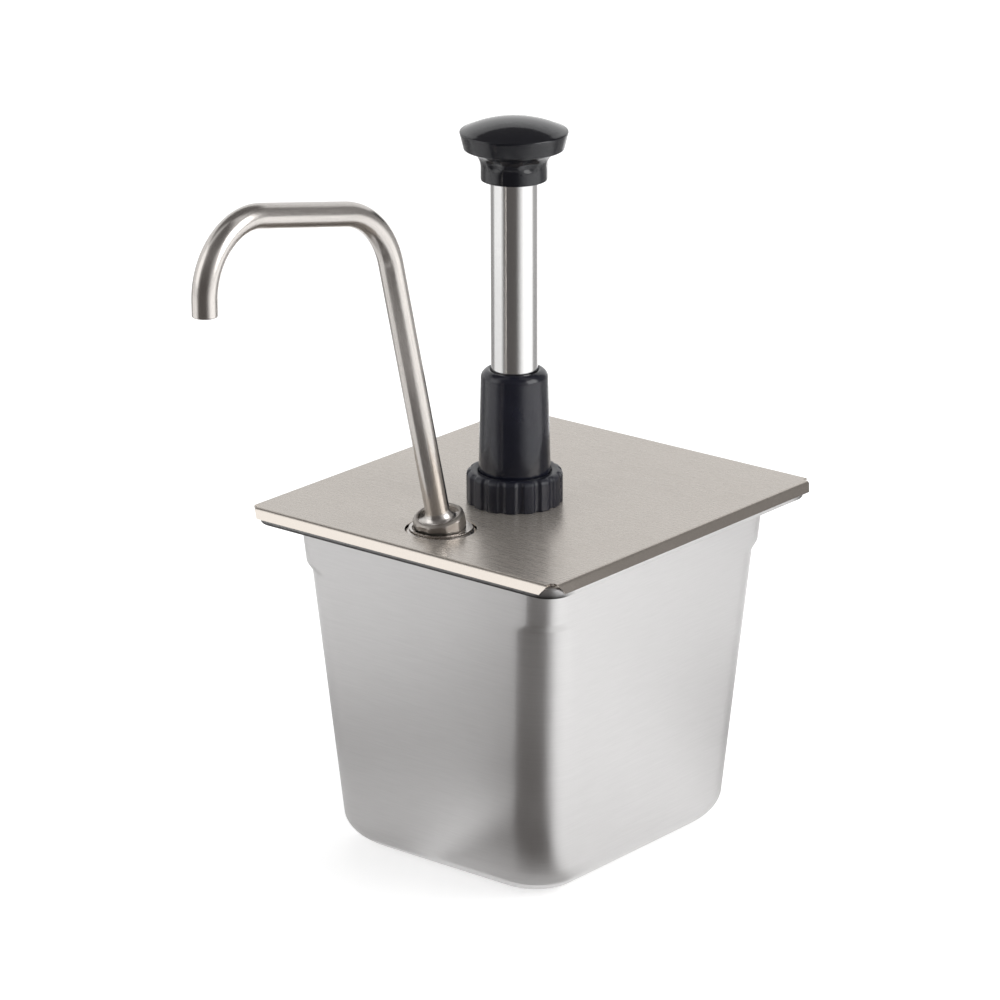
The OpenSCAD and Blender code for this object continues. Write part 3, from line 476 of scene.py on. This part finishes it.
def new_group(name, inputs, outputs):
    """Shader node group with named float or vector sockets."""
    group = bpy.data.node_groups.new(name, "ShaderNodeTree")
    for label, kind in inputs:
        group.interface.new_socket(label, in_out="INPUT", socket_type=kind)
    for label, kind in outputs:
        group.interface.new_socket(label, in_out="OUTPUT", socket_type=kind)
    return group, group.nodes.new("NodeGroupInput"), group.nodes.new("NodeGroupOutput")


def node(tree, kind, links=(), **values):
    """Node of a kind with attributes or socket defaults set, and links given as (socket, source)."""
    made = tree.nodes.new(kind)
    for key, value in values.items():
        if hasattr(made, key):
            setattr(made, key, value)
        else:
            made.inputs[key.replace("_", " ")].default_value = value
    for socket, source in links:
        tree.links.new(source, made.inputs[socket])
    return made


def ranged(tree, source, low, high, to_low, to_high):
    """Map Range from (low, high) to (to_low, to_high), held at its ends."""
    made = node(tree, "ShaderNodeMapRange", [("Value", source)])
    for key, value in (("From Min", low), ("From Max", high), ("To Min", to_low), ("To Max", to_high)):
        made.inputs[key].default_value = value
    return made.outputs["Result"]


def combined(tree, operation, first, second):
    """Math node's result of two values."""
    return node(tree, "ShaderNodeMath", [(0, first), (1, second)], operation=operation).outputs[0]


def noise(tree, links, **values):
    """Noise of 0 to 1 over the surface."""
    return node(tree, "ShaderNodeTexNoise", links, **values).outputs["Fac"]


def shared(build):
    """The node group that build makes under its own name: made once, and found again after that."""
    def found():
        return bpy.data.node_groups.get(build.__name__) or build(build.__name__)
    return found


@shared
def brushed_lines(name):
    """Brushing: noise stretched by a scale vector, so it draws lines along the axis with the least scale."""
    group, start, end = new_group(name, [("Vector", "NodeSocketVector"), ("Scale", "NodeSocketVector")],
                                  [("Lines", "NodeSocketFloat")])
    where, scale = start.outputs["Vector"], start.outputs["Scale"]
    stretched = node(group, "ShaderNodeVectorMath", [(0, where), (1, scale)], operation="MULTIPLY").outputs[0]
    lines = noise(group, [("Vector", stretched)], Scale=1.0, Detail=5.0, Roughness=0.62)
    group.links.new(ranged(group, lines, 0.3, 0.7, 0, 1), end.inputs["Lines"])
    return group


@shared
def handling_marks(name):
    """Handling marks: broad cloudy noise broken by a finer one."""
    group, start, end = new_group(name, [("Vector", "NodeSocketVector"), ("Size", "NodeSocketFloat")],
                                  [("Marks", "NodeSocketFloat")])
    where, size = start.outputs["Vector"], start.outputs["Size"]
    broad = noise(group, [("Vector", where), ("Scale", size)], Detail=3.0, Roughness=0.55)
    finer = node(group, "ShaderNodeMath", [(0, size)], operation="MULTIPLY")
    finer.inputs[1].default_value = 5.0
    small = noise(group, [("Vector", where), ("Scale", finer.outputs[0])], Detail=4.0, Roughness=0.6)
    clouds, breaks = ranged(group, broad, 0.35, 0.7, 0, 1), ranged(group, small, 0.3, 0.75, 0.2, 1)
    group.links.new(combined(group, "MULTIPLY", clouds, breaks), end.inputs["Marks"])
    return group


@shared
def moulded_skin(name):
    """Moulded skin: fine pebbled noise for the height, and slow flow lines for the gloss."""
    group, start, end = new_group(name, [("Vector", "NodeSocketVector"), ("Grain", "NodeSocketFloat")],
                                  [("Height", "NodeSocketFloat"), ("Flow", "NodeSocketFloat")])
    where, grain = start.outputs["Vector"], start.outputs["Grain"]
    fine = noise(group, [("Vector", where), ("Scale", grain)], Detail=2.0, Roughness=0.5)
    slow = noise(group, [("Vector", where)], Scale=60.0, Detail=4.0, Roughness=0.6)
    group.links.new(fine, end.inputs["Height"])
    group.links.new(ranged(group, slow, 0.3, 0.7, 0, 1), end.inputs["Flow"])
    return group


def blank_material(name):
    """Node material without nodes."""
    material = bpy.data.materials.new(name)
    material.use_nodes = True
    material.node_tree.nodes.clear()
    return material, material.node_tree


def shown(tree, shader):
    """The shader as what the material shows."""
    node(tree, "ShaderNodeOutputMaterial", [("Surface", shader.outputs[0])])
    return shader


def new_material(name):
    """Node material with its shader and output."""
    material, tree = blank_material(name)
    return material, tree, shown(tree, tree.nodes.new("ShaderNodeBsdfPrincipled"))


def place(tree, attribute):
    """Object coordinates, or the piece's own straightened coordinates."""
    if attribute:
        return node(tree, "ShaderNodeAttribute", attribute_name=attribute).outputs["Vector"]
    return node(tree, "ShaderNodeTexCoord").outputs["Object"]


def mixed(tree, factor, first, second):
    """Colour mix of two plain colours by a factor that changes over the surface."""
    made = node(tree, "ShaderNodeMix", [(0, factor)], data_type="RGBA")
    made.inputs[6].default_value = (*first, 1)
    made.inputs[7].default_value = (*second, 1)
    return made.outputs[2]


def steel(name, rgb, rough, scale, lines=0.10, bump=0.04, marks=0.06, mark_size=14.0, attribute=None,
          spread=None, painted_shade=None, metallic=1.0, level=False):
    """Steel: brushing changes its colour, roughness and height a little, and handling marks its roughness.

    The attribute named for painted shade darkens the colour where shade is painted. With level, faces that
    aren't level are smoother, fully metallic and not brushed, and metallic goes for the level ones."""
    material, tree, shader = new_material(name)
    where = place(tree, attribute)
    brushing = node(tree, "ShaderNodeGroup", node_tree=brushed_lines())
    tree.links.new(where, brushing.inputs["Vector"])
    brushing.inputs["Scale"].default_value = scale
    handled = node(tree, "ShaderNodeGroup", node_tree=handling_marks())
    tree.links.new(where, handled.inputs["Vector"])
    handled.inputs["Size"].default_value = mark_size
    rgb = np.array(rgb)
    brushed = brushing.outputs["Lines"]
    if level:
        normal = node(tree, "ShaderNodeNewGeometry").outputs["True Normal"]
        upright = node(tree, "ShaderNodeSeparateXYZ", [(0, normal)]).outputs["Z"]
        slanted, flat = 0.8, 0.97
        faded = node(tree, "ShaderNodeMix", [(0, ranged(tree, upright, slanted, flat, 0, 1)), (3, brushed)])
        faded.inputs[2].default_value = 0.5
        brushed = faded.outputs[0]
    colour = mixed(tree, brushed, rgb * (1 - lines), np.minimum(rgb * (1 + lines), 1))
    # Painted shade: where the attribute is 1, the colour darkens to a small share of itself.
    if painted_shade:
        edge = node(tree, "ShaderNodeAttribute", attribute_name=painted_shade).outputs["Fac"]
        shaded_colour = node(tree, "ShaderNodeMix", [(0, edge), (6, colour)], data_type="RGBA")
        shade_share = 0.07
        shaded_colour.inputs[7].default_value = (*(rgb * shade_share), 1)
        colour = shaded_colour.outputs[2]
    tree.links.new(colour, shader.inputs["Base Color"])
    spread = lines if spread is None else spread
    line_rough = ranged(tree, brushed, 0, 1, rough * (1 - spread), rough * (1 + spread))
    if level:
        smoother = ranged(tree, upright, slanted, flat, 0.6, 1)
        line_rough = combined(tree, "MULTIPLY", line_rough, smoother)
    mark_rough = ranged(tree, handled.outputs["Marks"], 0, 1, 0, marks)
    tree.links.new(combined(tree, "ADD", line_rough, mark_rough), shader.inputs["Roughness"])
    relief = node(tree, "ShaderNodeBump", [("Height", brushed)], Strength=bump, Distance=0.0002)
    tree.links.new(relief.outputs[0], shader.inputs["Normal"])
    shader.inputs["Metallic"].default_value = metallic
    if level:
        tree.links.new(ranged(tree, upright, slanted, flat, 1, metallic), shader.inputs["Metallic"])
    return material


def plastic(name, rgb, rough, grain=2600.0, bump=0.05, gloss_range=0.06):
    """Moulded plastic: pebbled height, and gloss and colour that follow slow flow lines."""
    material, tree, shader = new_material(name)
    skin = node(tree, "ShaderNodeGroup", node_tree=moulded_skin())
    tree.links.new(place(tree, None), skin.inputs["Vector"])
    skin.inputs["Grain"].default_value = grain
    flow, height, rgb = skin.outputs["Flow"], skin.outputs["Height"], np.array(rgb)
    deep, pale = 0.8, 1.25
    tree.links.new(mixed(tree, flow, rgb * deep, np.minimum(rgb * pale, 1)), shader.inputs["Base Color"])
    gloss = ranged(tree, flow, 0, 1, rough - gloss_range, rough + gloss_range)
    tree.links.new(gloss, shader.inputs["Roughness"])
    relief = node(tree, "ShaderNodeBump", [("Height", height)], Strength=bump, Distance=0.0001)
    tree.links.new(relief.outputs[0], shader.inputs["Normal"])
    return material


def dress(material, *nodes):
    """CAD nodes that show as they are take a procedural finish."""
    for name in nodes:
        NODES[name].data.materials.clear()
        NODES[name].data.materials.append(material)


# Operators

class DISPENSER_OT_pan(bpy.types.Operator):
    """Draw the pan: a profile carried round rounded rectangles, with painted shade on the lip at its short
    ends
    """
    bl_idname = "dispenser.pan"
    bl_label = "Draw the pan"

    def execute(self, context):
        settings = context.scene.dispenser
        p = settings.pan
        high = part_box("pan")[1]
        offset, corner, z = pan_profile(p, high.z).T
        half_l, half_w = high.x - p.rim_width + offset, high.y - p.rim_width + offset
        grid = rounded_loops(half_l, half_w, corner, z)
        shares = (0.03, 0.3, 0.6, 0.9)
        under = [grid[:1] * (k, k, 1) for k in shares]
        floor = [grid[-1:] * (k, k, 1) for k in reversed(shares)]
        whole = np.concatenate([*under, grid, *floor])
        across, along, rise = np.abs(whole[..., 0]), np.abs(whole[..., 1]), whole[..., 2]
        outside = (across > high.x - p.rim_width / 2) | (along > high.y - p.rim_width / 2)
        # Painted shade: a mask over the rim's turned-down lip, at the short ends only, that darkens the steel
        # there.
        lip_start, lip_fade, end_start, end_fade = 2.2 * MM, 1.2 * MM, 14 * MM, 8 * MM
        edge = smooth((high.z - lip_start - rise) / lip_fade) * outside
        edge = edge * smooth((across - (high.x - end_start)) / end_fade)
        piece = surface("pan_shell", whole, False, edge=edge)
        finish = steel("pan_steel", settings.finishes.pan_steel, 0.31, (60.0, 60.0, 1500.0), lines=0.03,
                       bump=0.012, marks=0.05, mark_size=9.0, painted_shade="edge")
        fitted(piece, "pan", "pan_steel", finish, "pan")
        return {"FINISHED"}


class DISPENSER_OT_lid(bpy.types.Operator):
    """Finish the folded lid with brushing along its short side"""
    bl_idname = "dispenser.lid"
    bl_label = "Finish the lid"

    def execute(self, context):
        settings = context.scene.dispenser
        finish = steel("lid_steel", settings.finishes.lid_steel, 0.28, (4200.0, 130.0, 1500.0), lines=0.05,
                       bump=0.014, marks=0.05, mark_size=16.0, spread=0.40, metallic=0.65, level=True)
        dress(finish, "lid_plate")
        return {"FINISHED"}


class DISPENSER_OT_spout(bpy.types.Operator):
    """Bend the spout: circles carried along its centre line, from the flared foot to the open tip and back"""
    bl_idname = "dispenser.spout"
    bl_label = "Bend the spout"

    def execute(self, context):
        settings = context.scene.dispenser
        p = settings.spout
        line = spout_line(p)
        total = line[3][-1]
        bore = p.tube - p.wall
        a = np.radians(np.linspace(0, 90, 15))
        flare = np.stack([p.flange_top + p.flare_height * (1 - np.cos(a)),
                          p.tube + (p.flare - p.tube) * (1 - np.sin(a))], 1)
        run = line[3][line[3] > p.flange_top + p.flare_height][:-1]
        lip = np.radians(np.linspace(0, 180, 9))
        mid, half = (p.tube + bore) / 2, p.wall / 2
        rounding = np.stack([total - half + half * np.sin(lip), mid + half * np.cos(lip)], 1)[1:]
        run = run[run < total - half]
        edge = 0.25 * MM
        profile = np.concatenate([
            [[p.low, bore], [p.low, p.tube], [p.flange_low, p.tube], [p.flange_low, p.flange - edge],
             [p.flange_low + edge, p.flange], [p.flange_top - edge, p.flange],
             [p.flange_top, p.flange - edge]],
            flare, np.stack([run, 0 * run + p.tube], 1), [[total - half, p.tube]], rounding,
            np.stack([run[::-1], 0 * run + bore], 1)])
        grid, flow = carried(profile[:, 0], profile[:, 1], line, 64)
        piece = surface("spout_bent", grid, True, flow=flow, sharp=40)
        finish = steel("tube_steel", settings.finishes.tube_steel, 0.20, (2200.0, 2200.0, 60.0), lines=0.09,
                       bump=0.05, marks=0.05, mark_size=20.0, attribute="flow")
        fitted(piece, "spout", "tube_steel", finish, "spout_tube")
        dress(finish, "discharge_tube")
        return {"FINISHED"}


class DISPENSER_OT_union(bpy.types.Operator):
    """Turn the union nut: flats of apothem r cos(180/n), cut back by cones at both ends"""
    bl_idname = "dispenser.union"
    bl_label = "Turn the union nut"

    def execute(self, context):
        settings = context.scene.dispenser
        p = settings.spout
        a = full_turn(16 * p.nut_flats)
        sector = 2 * math.pi / p.nut_flats
        off = (a + sector / 2) % sector - sector / 2
        flat = np.minimum(p.nut * math.cos(sector / 2) / np.cos(off), p.nut * NUT_CORNER)
        top, mouth, thread_top = p.nut_height, p.nut_mouth, p.nut_height - p.nut_lip
        cones = [(s * MM, p.nut * k) for s, k in NUT_FOOT] + [(top - s * MM, p.nut * k) for s, k in NUT_HEAD]
        rounding = [(top, mouth + 0.5 * MM), (top - 0.12 * MM, mouth + 0.18 * MM), (top - 0.4 * MM, mouth)]
        thread = [(thread_top, mouth), (thread_top, p.nut_thread), (0, p.nut_thread)]
        profile = np.array(cones + rounding + thread)
        s, r = p.nut_low + profile[:, :1] + 0 * a, profile[:, 1:] + 0 * a
        r[:len(cones)] = np.minimum(r[:len(cones)], flat)
        x, y = r * np.cos(a), r * np.sin(a)
        sin, cos = math.sin(p.lean), math.cos(p.lean)
        grid = np.stack([p.foot_x + x * cos - s * sin, y, p.foot_z + x * sin + s * cos], -1)
        piece = surface("union_nut_turned", grid, True, sharp=24)
        turning = {"scale": (700.0, 700.0, 2600.0), "lines": 0.08, "bump": 0.05, "marks": 0.08,
                   "mark_size": 60.0}
        finish = steel("fitting_steel", settings.finishes.tube_steel, 0.24, **turning)
        dull = steel("nut_steel", settings.finishes.nut_steel, 0.38, **turning)
        fitted(piece, "lid", "fitting_steel", dull, "union_nut")
        self.collar(p, finish)
        dress(finish, "outlet_fitting", "inlet_seat", "ball_stop_pin", "spring_seat", "piston_pin",
              "tube_plug", "knob_stud")
        return {"FINISHED"}

    def collar(self, p, finish):
        """Collar: a ring that slopes down from the boss into the gap in the lid's hole."""
        inner, soft = p.boss - 0.1 * MM, 0.3 * MM
        low, edge, top = -1.8 * MM, -1.0 * MM, -0.2 * MM
        profile = np.array([[inner, low], [p.collar, low], [p.collar, edge], [p.collar - soft, -0.7 * MM],
                            [p.boss + soft, -0.3 * MM], [inner, top]])
        profile[:, 1] += p.foot_z
        piece = surface("fitting_collar", turned(profile, 96, p.foot_x), True)
        fitted(piece, "lid", "fitting_steel", finish)


class DISPENSER_OT_pump(bpy.types.Operator):
    """Make the pump's upper end: the lobed locking ring, the guide sleeve and the plunger tube"""
    bl_idname = "dispenser.pump"
    bl_label = "Make the pump's upper end"

    def execute(self, context):
        settings = context.scene.dispenser
        p, base = settings.pump, settings.spout.foot_z
        black = settings.finishes.black_plastic
        self.ring(p, base, black)
        self.sleeve(p, base, black)
        self.plunger(p, settings.finishes.polished_steel)
        return {"FINISHED"}

    def ring(self, p, base, black):
        """Ring radius r - d g(a), with g a row of rounded grooves, and a rounded top edge."""
        fit = 0.05 * MM
        a = full_turn(28 * p.ring_lobes)
        lobe = 0.45
        groove = smooth((0.5 + 0.5 * np.cos(p.ring_lobes * a) - lobe) / (1 - lobe))
        top = arc(p.ring - p.ring_round, p.ring_height - p.ring_round, p.ring_round, 0, 90, 12)
        lip_z = p.neck_height + p.sleeve_flange + 0.1 * MM
        mouth = p.sleeve_low + 0.1 * MM
        soft = 0.5 * MM
        profile = np.concatenate([
            [[p.neck + fit, 0], [p.ring - soft, 0], [p.ring - 0.15 * soft, 0.15 * soft], [p.ring, soft]],
            between((p.ring, 2 * soft), top[0], 6), top,
            [[mouth + soft, p.ring_height], [mouth, p.ring_height - soft], [mouth, lip_z],
             [p.neck + fit, lip_z]]])
        r, z = profile[:, :1], profile[:, 1:] + base
        cut = smooth((r - (p.ring - p.ring_round - 0.5 * MM)) / p.ring_round)
        grid = round_axis(p.axis_x, r - p.groove_depth * cut * groove, a, z)
        piece = surface("locking_ring_lobed", grid, True, sharp=50)
        finish = plastic("ring_plastic", black, 0.36, bump=0.10, gloss_range=0.05)
        fitted(piece, "lid", "ring_plastic", finish, "locking_ring")
        dress(plastic("foot_plastic", black, 0.42, bump=0.12), "pump_foot")

    def sleeve(self, p, base, black):
        """Sleeve: a tapered wall with a rounded shoulder, a guide bore and a skirt, as one turned profile."""
        low, top = base + p.neck_height, base + p.sleeve_height
        foot, flange_top = low - p.sleeve_skirt, low + p.sleeve_flange
        round_r = p.sleeve_round
        shoulder = arc(p.sleeve_top - round_r, top - round_r, round_r, 0, 80, 16)
        mouth = MM * np.array([[0.9, -0.15], [0.35, -0.35], [0.05, -0.9], [0, -1.3]]) + (p.guide, top)
        profile = np.concatenate([
            [[p.guide, foot], [p.skirt, foot], [p.skirt, low], [p.neck, low], [p.neck, flange_top]],
            between((p.sleeve_low, flange_top), shoulder[0], 10), shoulder, mouth])
        piece = surface("guide_sleeve_turned", turned(profile, 128, p.axis_x), True, sharp=40)
        finish = plastic("sleeve_plastic", black, 0.16, bump=0.04, gloss_range=0.03)
        fitted(piece, "lid", "sleeve_plastic", finish, "guide_sleeve")

    def plunger(self, p, rgb):
        """Plunger tube: two straight walls with broken edges."""
        low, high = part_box("plunger_tube")
        edge, bore = 0.2 * MM, p.plunger - p.plunger_wall
        profile = np.array([[bore, low.z], [p.plunger - edge, low.z], [p.plunger, low.z + edge],
                            [p.plunger, high.z - edge], [p.plunger - edge, high.z], [bore, high.z]])
        piece = surface("plunger_tube_ground", turned(profile, 160, p.axis_x), True)
        finish = steel("polished_steel", rgb, 0.09, (700.0, 700.0, 2400.0), lines=0.03, bump=0.012,
                       marks=0.03, mark_size=30.0)
        fitted(piece, "plunger", "polished_steel", finish, "plunger_tube")
        dress(finish, "pump_cylinder", "inlet_ball", "outlet_ball")


class DISPENSER_OT_knob(bpy.types.Operator):
    """Mould the knob: a turned profile r cut by flattened balls b, as -k log(exp(-r/k) + exp(-b/k))"""
    bl_idname = "dispenser.knob"
    bl_label = "Mould the knob"

    def execute(self, context):
        settings = context.scene.dispenser
        p, axis = settings.knob, settings.pump.axis_x
        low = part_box("knob")[0].z
        neck_top = p.skirt_height + p.neck_height
        band_top = neck_top + p.band_height
        dome_low = p.rim - p.edge
        dome_r = (dome_low ** 2 + p.dome_height ** 2) / (2 * p.dome_height)
        dome_a = math.asin(dome_low / dome_r)
        soft = 0.5 * MM
        run = p.under - p.skirt
        slant = math.degrees(math.atan2(p.rim - p.under, p.band_height))
        a = np.radians(np.linspace(180, 90, 45))
        neck = np.stack([p.under + run * np.cos(a), p.skirt_height + p.neck_height * np.sin(a)], 1)
        edge = arc(dome_low, band_top, p.edge, -slant, 90 - math.degrees(dome_a), 10)
        d = dome_a * (1 - np.linspace(0, 1, 26)[1:])
        lift = p.edge * math.cos(dome_a)
        dome = np.stack([dome_r * np.sin(d), band_top + lift + p.dome_height - dome_r * (1 - np.cos(d))], 1)
        pole, inset = 0.05 * MM, 0.2 * MM
        dome[-1, 0] = pole
        under = arc(p.under - inset, neck_top + soft, soft, -80, -15, 5)
        profile = np.concatenate([
            [[pole, p.socket_depth], [p.socket, p.socket_depth], [p.socket, soft], [p.socket + soft, 0],
             [p.skirt - soft, 0], [p.skirt - 0.15 * soft, 0.15 * soft], [p.skirt, soft]],
            between((p.skirt, 2 * soft), (p.skirt, p.skirt_height), 10), neck[:-1], under,
            between(under[-1], edge[0], 22)[1:], edge, dome])
        r, z = profile[:, :1], profile[:, 1:]
        t = full_turn(40 * p.scoops)
        sector = 2 * math.pi / p.scoops
        off = (t - p.scoop_turn + sector / 2) % sector - sector / 2
        scoop_rise = 0.36 * p.neck_height
        far, mid_z = p.skirt + p.scoop - p.scoop_depth, p.skirt_height + scoop_rise
        chord = p.scoop ** 2 - (far * np.sin(off)) ** 2 - (p.scoop_flat * (z - mid_z)) ** 2
        cut = np.where(chord > 0, far * np.cos(off) - np.sqrt(np.maximum(chord, 0)), 1.0)
        k = p.ridge
        soft_least = -k * np.logaddexp(-r / k, -cut / k)
        socket_rows = 6
        r = np.where(np.arange(len(profile))[:, None] >= socket_rows, soft_least, r + 0 * t)
        piece = surface("knob_moulded", round_axis(axis, r, t, low + z), False, sharp=38)
        finish = plastic("knob_plastic", settings.finishes.knob_plastic, 0.075, bump=0.012, gloss_range=0.02)
        fitted(piece, "plunger", "knob_plastic", finish, "knob")
        return {"FINISHED"}


class DISPENSER_OT_inner(bpy.types.Operator):
    """Finish the hidden pieces: piston and seals, and the coiled spring that the plunger presses"""
    bl_idname = "dispenser.inner"
    bl_label = "Finish the hidden pieces"

    def execute(self, context):
        settings = context.scene.dispenser
        tones = settings.finishes
        dress(plastic("piston_plastic", tones.white_plastic, 0.4, bump=0.06), "piston")
        wire = steel("spring_steel", tones.tube_steel, 0.25, (900.0, 900.0, 900.0), lines=0.06)
        self.spring(settings.pump, wire)
        rubber = plastic("seal_rubber", tones.rubber, 0.6, grain=1800.0, bump=0.15, gloss_range=0.08)
        dress(rubber, "wiper_seal", "lid_gasket", "cylinder_o_ring", "seat_o_ring", "piston_seal",
              "tube_o_ring", "spout_o_ring")
        return {"FINISHED"}

    def spring(self, p, finish):
        """Spring: a round wire along the coil (r cos a, r sin a, h(a)) with closed end turns.
"""
        low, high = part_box("return_spring")
        closed = p.wire + p.closed_gap
        pitch = (high.z - low.z - p.wire - 2 * closed) / (p.coil_turns - 2)
        t = np.linspace(0, p.coil_turns, 32 * p.coil_turns + 1)[:, None]
        h = low.z + p.wire / 2 + pitch * np.clip(t - 1, 0, p.coil_turns - 2)
        h = h + closed * (np.minimum(t, 1) + np.maximum(t - p.coil_turns + 1, 0))
        b = full_turn(12)
        r = p.coil + p.wire / 2 * np.cos(b)
        grid = round_axis(p.axis_x, r, 2 * math.pi * t, h + p.wire / 2 * np.sin(b))
        piece = surface("return_spring_coiled", grid, False)
        fitted(piece, "lid", "spring_steel", finish, "return_spring")
        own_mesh(piece)


class DISPENSER_OT_stage(bpy.types.Operator):
    """Set up the plain studio: camera, pale floor, even white surroundings, soft lights and dark flags"""
    bl_idname = "dispenser.stage"
    bl_label = "Set up the studio"

    def execute(self, context):
        s = context.scene.dispenser.stage
        context.scene.view_settings.view_transform = "Standard"
        context.scene.camera = self.camera(s)
        context.scene.world = self.world(s)
        self.floor()
        cloth = self.cloth()
        for name, lobes, path in FLAGS:
            self.flag(name, s, lobes, path, cloth)
        for light in LIGHTS:
            self.light(s, *light)
        return {"FINISHED"}

    def camera(self, s):
        """Camera axes: right, up and back, from the azimuth, the elevation and the roll."""
        sa, ca = math.sin(s.azimuth), math.cos(s.azimuth)
        se, ce = math.sin(s.elevation), math.cos(s.elevation)
        back, right = Vector((sa * ce, -ca * ce, se)), Vector((ca, sa, 0))
        up = back.cross(right)
        rolled = Matrix.Rotation(s.roll, 3, back)
        right, up = rolled @ right, rolled @ up
        middle = Vector((0, 0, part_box("lid_plate")[1].z))
        data = bpy.data.cameras.new("camera")
        data.lens, data.sensor_width = s.lens, 36
        data.clip_start, data.clip_end = 0.05, 50
        camera = placed("camera", data)
        spot = middle + back * s.distance + right * s.slide_right + up * s.slide_up
        camera.matrix_world = Matrix.Translation(spot) @ Matrix((right, up, back)).transposed().to_4x4()
        return camera

    def seen(self, tree):
        """Share of rays that see the background: camera, glossy and transmission rays."""
        ray = tree.nodes.new("ShaderNodeLightPath").outputs
        straight_or_mirrored = combined(tree, "MAXIMUM", ray["Is Camera Ray"], ray["Is Glossy Ray"])
        return combined(tree, "MAXIMUM", straight_or_mirrored, ray["Is Transmission Ray"])

    def world(self, s):
        """White background at strength 1 for rays that see it, and an even fill for the rest."""
        world = bpy.data.worlds.new("studio")
        world.use_nodes = True
        tree = world.node_tree
        tree.nodes.clear()
        strength = ranged(tree, self.seen(tree), 0, 1, s.fill, 1.0)
        light = node(tree, "ShaderNodeBackground", [("Strength", strength)], Color=(1, 1, 1, 1))
        node(tree, "ShaderNodeOutputWorld", [("Surface", light.outputs[0])])
        return world

    def floor(self):
        """Pale floor: a diffuse sheet that takes the shadow, and a glow for rays that see the background.

        The glow grows with the distance from the object, from near to far."""
        half, white = 6.0, 0.86
        near, far, near_glow, far_glow = 0.12, 0.7, 0.50, 0.60
        corners = [(-half, -half, 0), (half, -half, 0), (half, half, 0), (-half, half, 0)]
        mesh = bpy.data.meshes.new("floor")
        mesh.from_pydata(corners, [], [(0, 1, 2, 3)])
        floor = placed("floor", mesh)
        material, tree = blank_material("floor_white")
        sheet = node(tree, "ShaderNodeBsdfDiffuse", Color=(white, white, white, 1))
        spot = place(tree, None)
        away = node(tree, "ShaderNodeVectorMath", [(0, spot)], operation="LENGTH").outputs["Value"]
        seen_glow = ranged(tree, away, near, far, near_glow, far_glow)
        strength = combined(tree, "MULTIPLY", self.seen(tree), seen_glow)
        glow = node(tree, "ShaderNodeEmission", [("Strength", strength)])
        shown(tree, node(tree, "ShaderNodeAddShader", [(0, sheet.outputs[0]), (1, glow.outputs[0])]))
        mesh.materials.append(material)

    def flag(self, name, s, lobes, path, cloth):
        """Flag swept round the object along its path, which only the object's shiny surfaces see.

        Its shade is the path's level times the highest lobe. A lobe is its depth times a smooth step of the
        angle from its middle."""
        angle = np.linspace(-180, 180, 241)
        shade = np.zeros_like(angle)
        for middle, half, soft, depth in lobes:
            shade = np.maximum(shade, depth * smooth(1 - (np.abs(angle - middle) - half) / soft))
        reach, height, level = (np.array(path)[:, k:k + 1] for k in range(3))
        facing = s.azimuth - math.pi / 2 + np.radians(angle)
        grid = np.stack([reach * np.cos(facing), reach * np.sin(facing), height + 0 * facing], -1)
        rows, cols = grid.shape[:2]
        first = (np.arange(rows - 1)[:, None] * cols + np.arange(cols - 1)).reshape(-1, 1)
        quads = first + np.array([0, 1, cols + 1, cols])
        mesh = bpy.data.meshes.new(name)
        mesh.from_pydata(grid.reshape(-1, 3).tolist(), [], quads.tolist())
        painted(mesh, "shade", "FLOAT", level * shade)
        mesh.materials.append(cloth)
        flag = placed(name, mesh)
        for ray in ("camera", "diffuse", "transmission", "volume_scatter", "shadow"):
            setattr(flag, "visible_" + ray, False)

    def cloth(self):
        """Dark cloth that fades out to clear where its shade is 0."""
        material, tree = blank_material("flag_cloth")
        amount = node(tree, "ShaderNodeAttribute", attribute_name="shade").outputs["Fac"]
        clear = tree.nodes.new("ShaderNodeBsdfTransparent")
        dark = node(tree, "ShaderNodeEmission", Color=(0.096, 0.086, 0.082, 1), Strength=1.0)
        layers = [(0, amount), (1, clear.outputs[0]), (2, dark.outputs[0])]
        shown(tree, node(tree, "ShaderNodeMixShader", layers))
        return material

    def light(self, s, name, side, rise, distance, size, power, mirrored):
        """Soft square light that stands off the object at an angle from the camera's side and faces it."""
        facing, up = s.azimuth - math.pi / 2 + math.radians(side), math.radians(rise)
        middle = Vector((-0.03, 0, 0.16))
        away = Vector((math.cos(facing) * math.cos(up), math.sin(facing) * math.cos(up), math.sin(up)))
        data = bpy.data.lights.new(name, "AREA")
        data.size, data.energy = size, power
        lamp = placed(name, data)
        faced = away.to_track_quat("Z", "Y").to_matrix().to_4x4()
        lamp.matrix_world = Matrix.Translation(middle + away * distance) @ faced
        lamp.visible_camera = False
        lamp.visible_glossy = mirrored


class DISPENSER_PT_panel(bpy.types.Panel):
    """Lists the dispenser's steps"""
    bl_idname = "DISPENSER_PT_panel"
    bl_label = "Sauce dispenser"
    bl_space_type = "VIEW_3D"
    bl_region_type = "UI"
    bl_category = "Dispenser"

    def draw(self, context):
        for step in STEPS:
            self.layout.operator(step.bl_idname)


STEPS = (DISPENSER_OT_stage, DISPENSER_OT_pan, DISPENSER_OT_lid, DISPENSER_OT_spout, DISPENSER_OT_union,
         DISPENSER_OT_pump, DISPENSER_OT_knob, DISPENSER_OT_inner)
CLASSES = (PanSizes, SpoutSizes, PumpSizes, KnobSizes, Finishes, StageSizes, DispenserSettings, *STEPS,
           DISPENSER_PT_panel)


def register():
    for item in CLASSES:
        bpy.utils.register_class(item)
    bpy.types.Scene.dispenser = PointerProperty(type=DispenserSettings)


def unregister():
    del bpy.types.Scene.dispenser
    for item in reversed(CLASSES):
        bpy.utils.unregister_class(item)


def main():
    register()
    for step in STEPS:
        group, name = step.bl_idname.split(".")
        getattr(getattr(bpy.ops, group), name)()


if __name__ == "__main__":
    main()
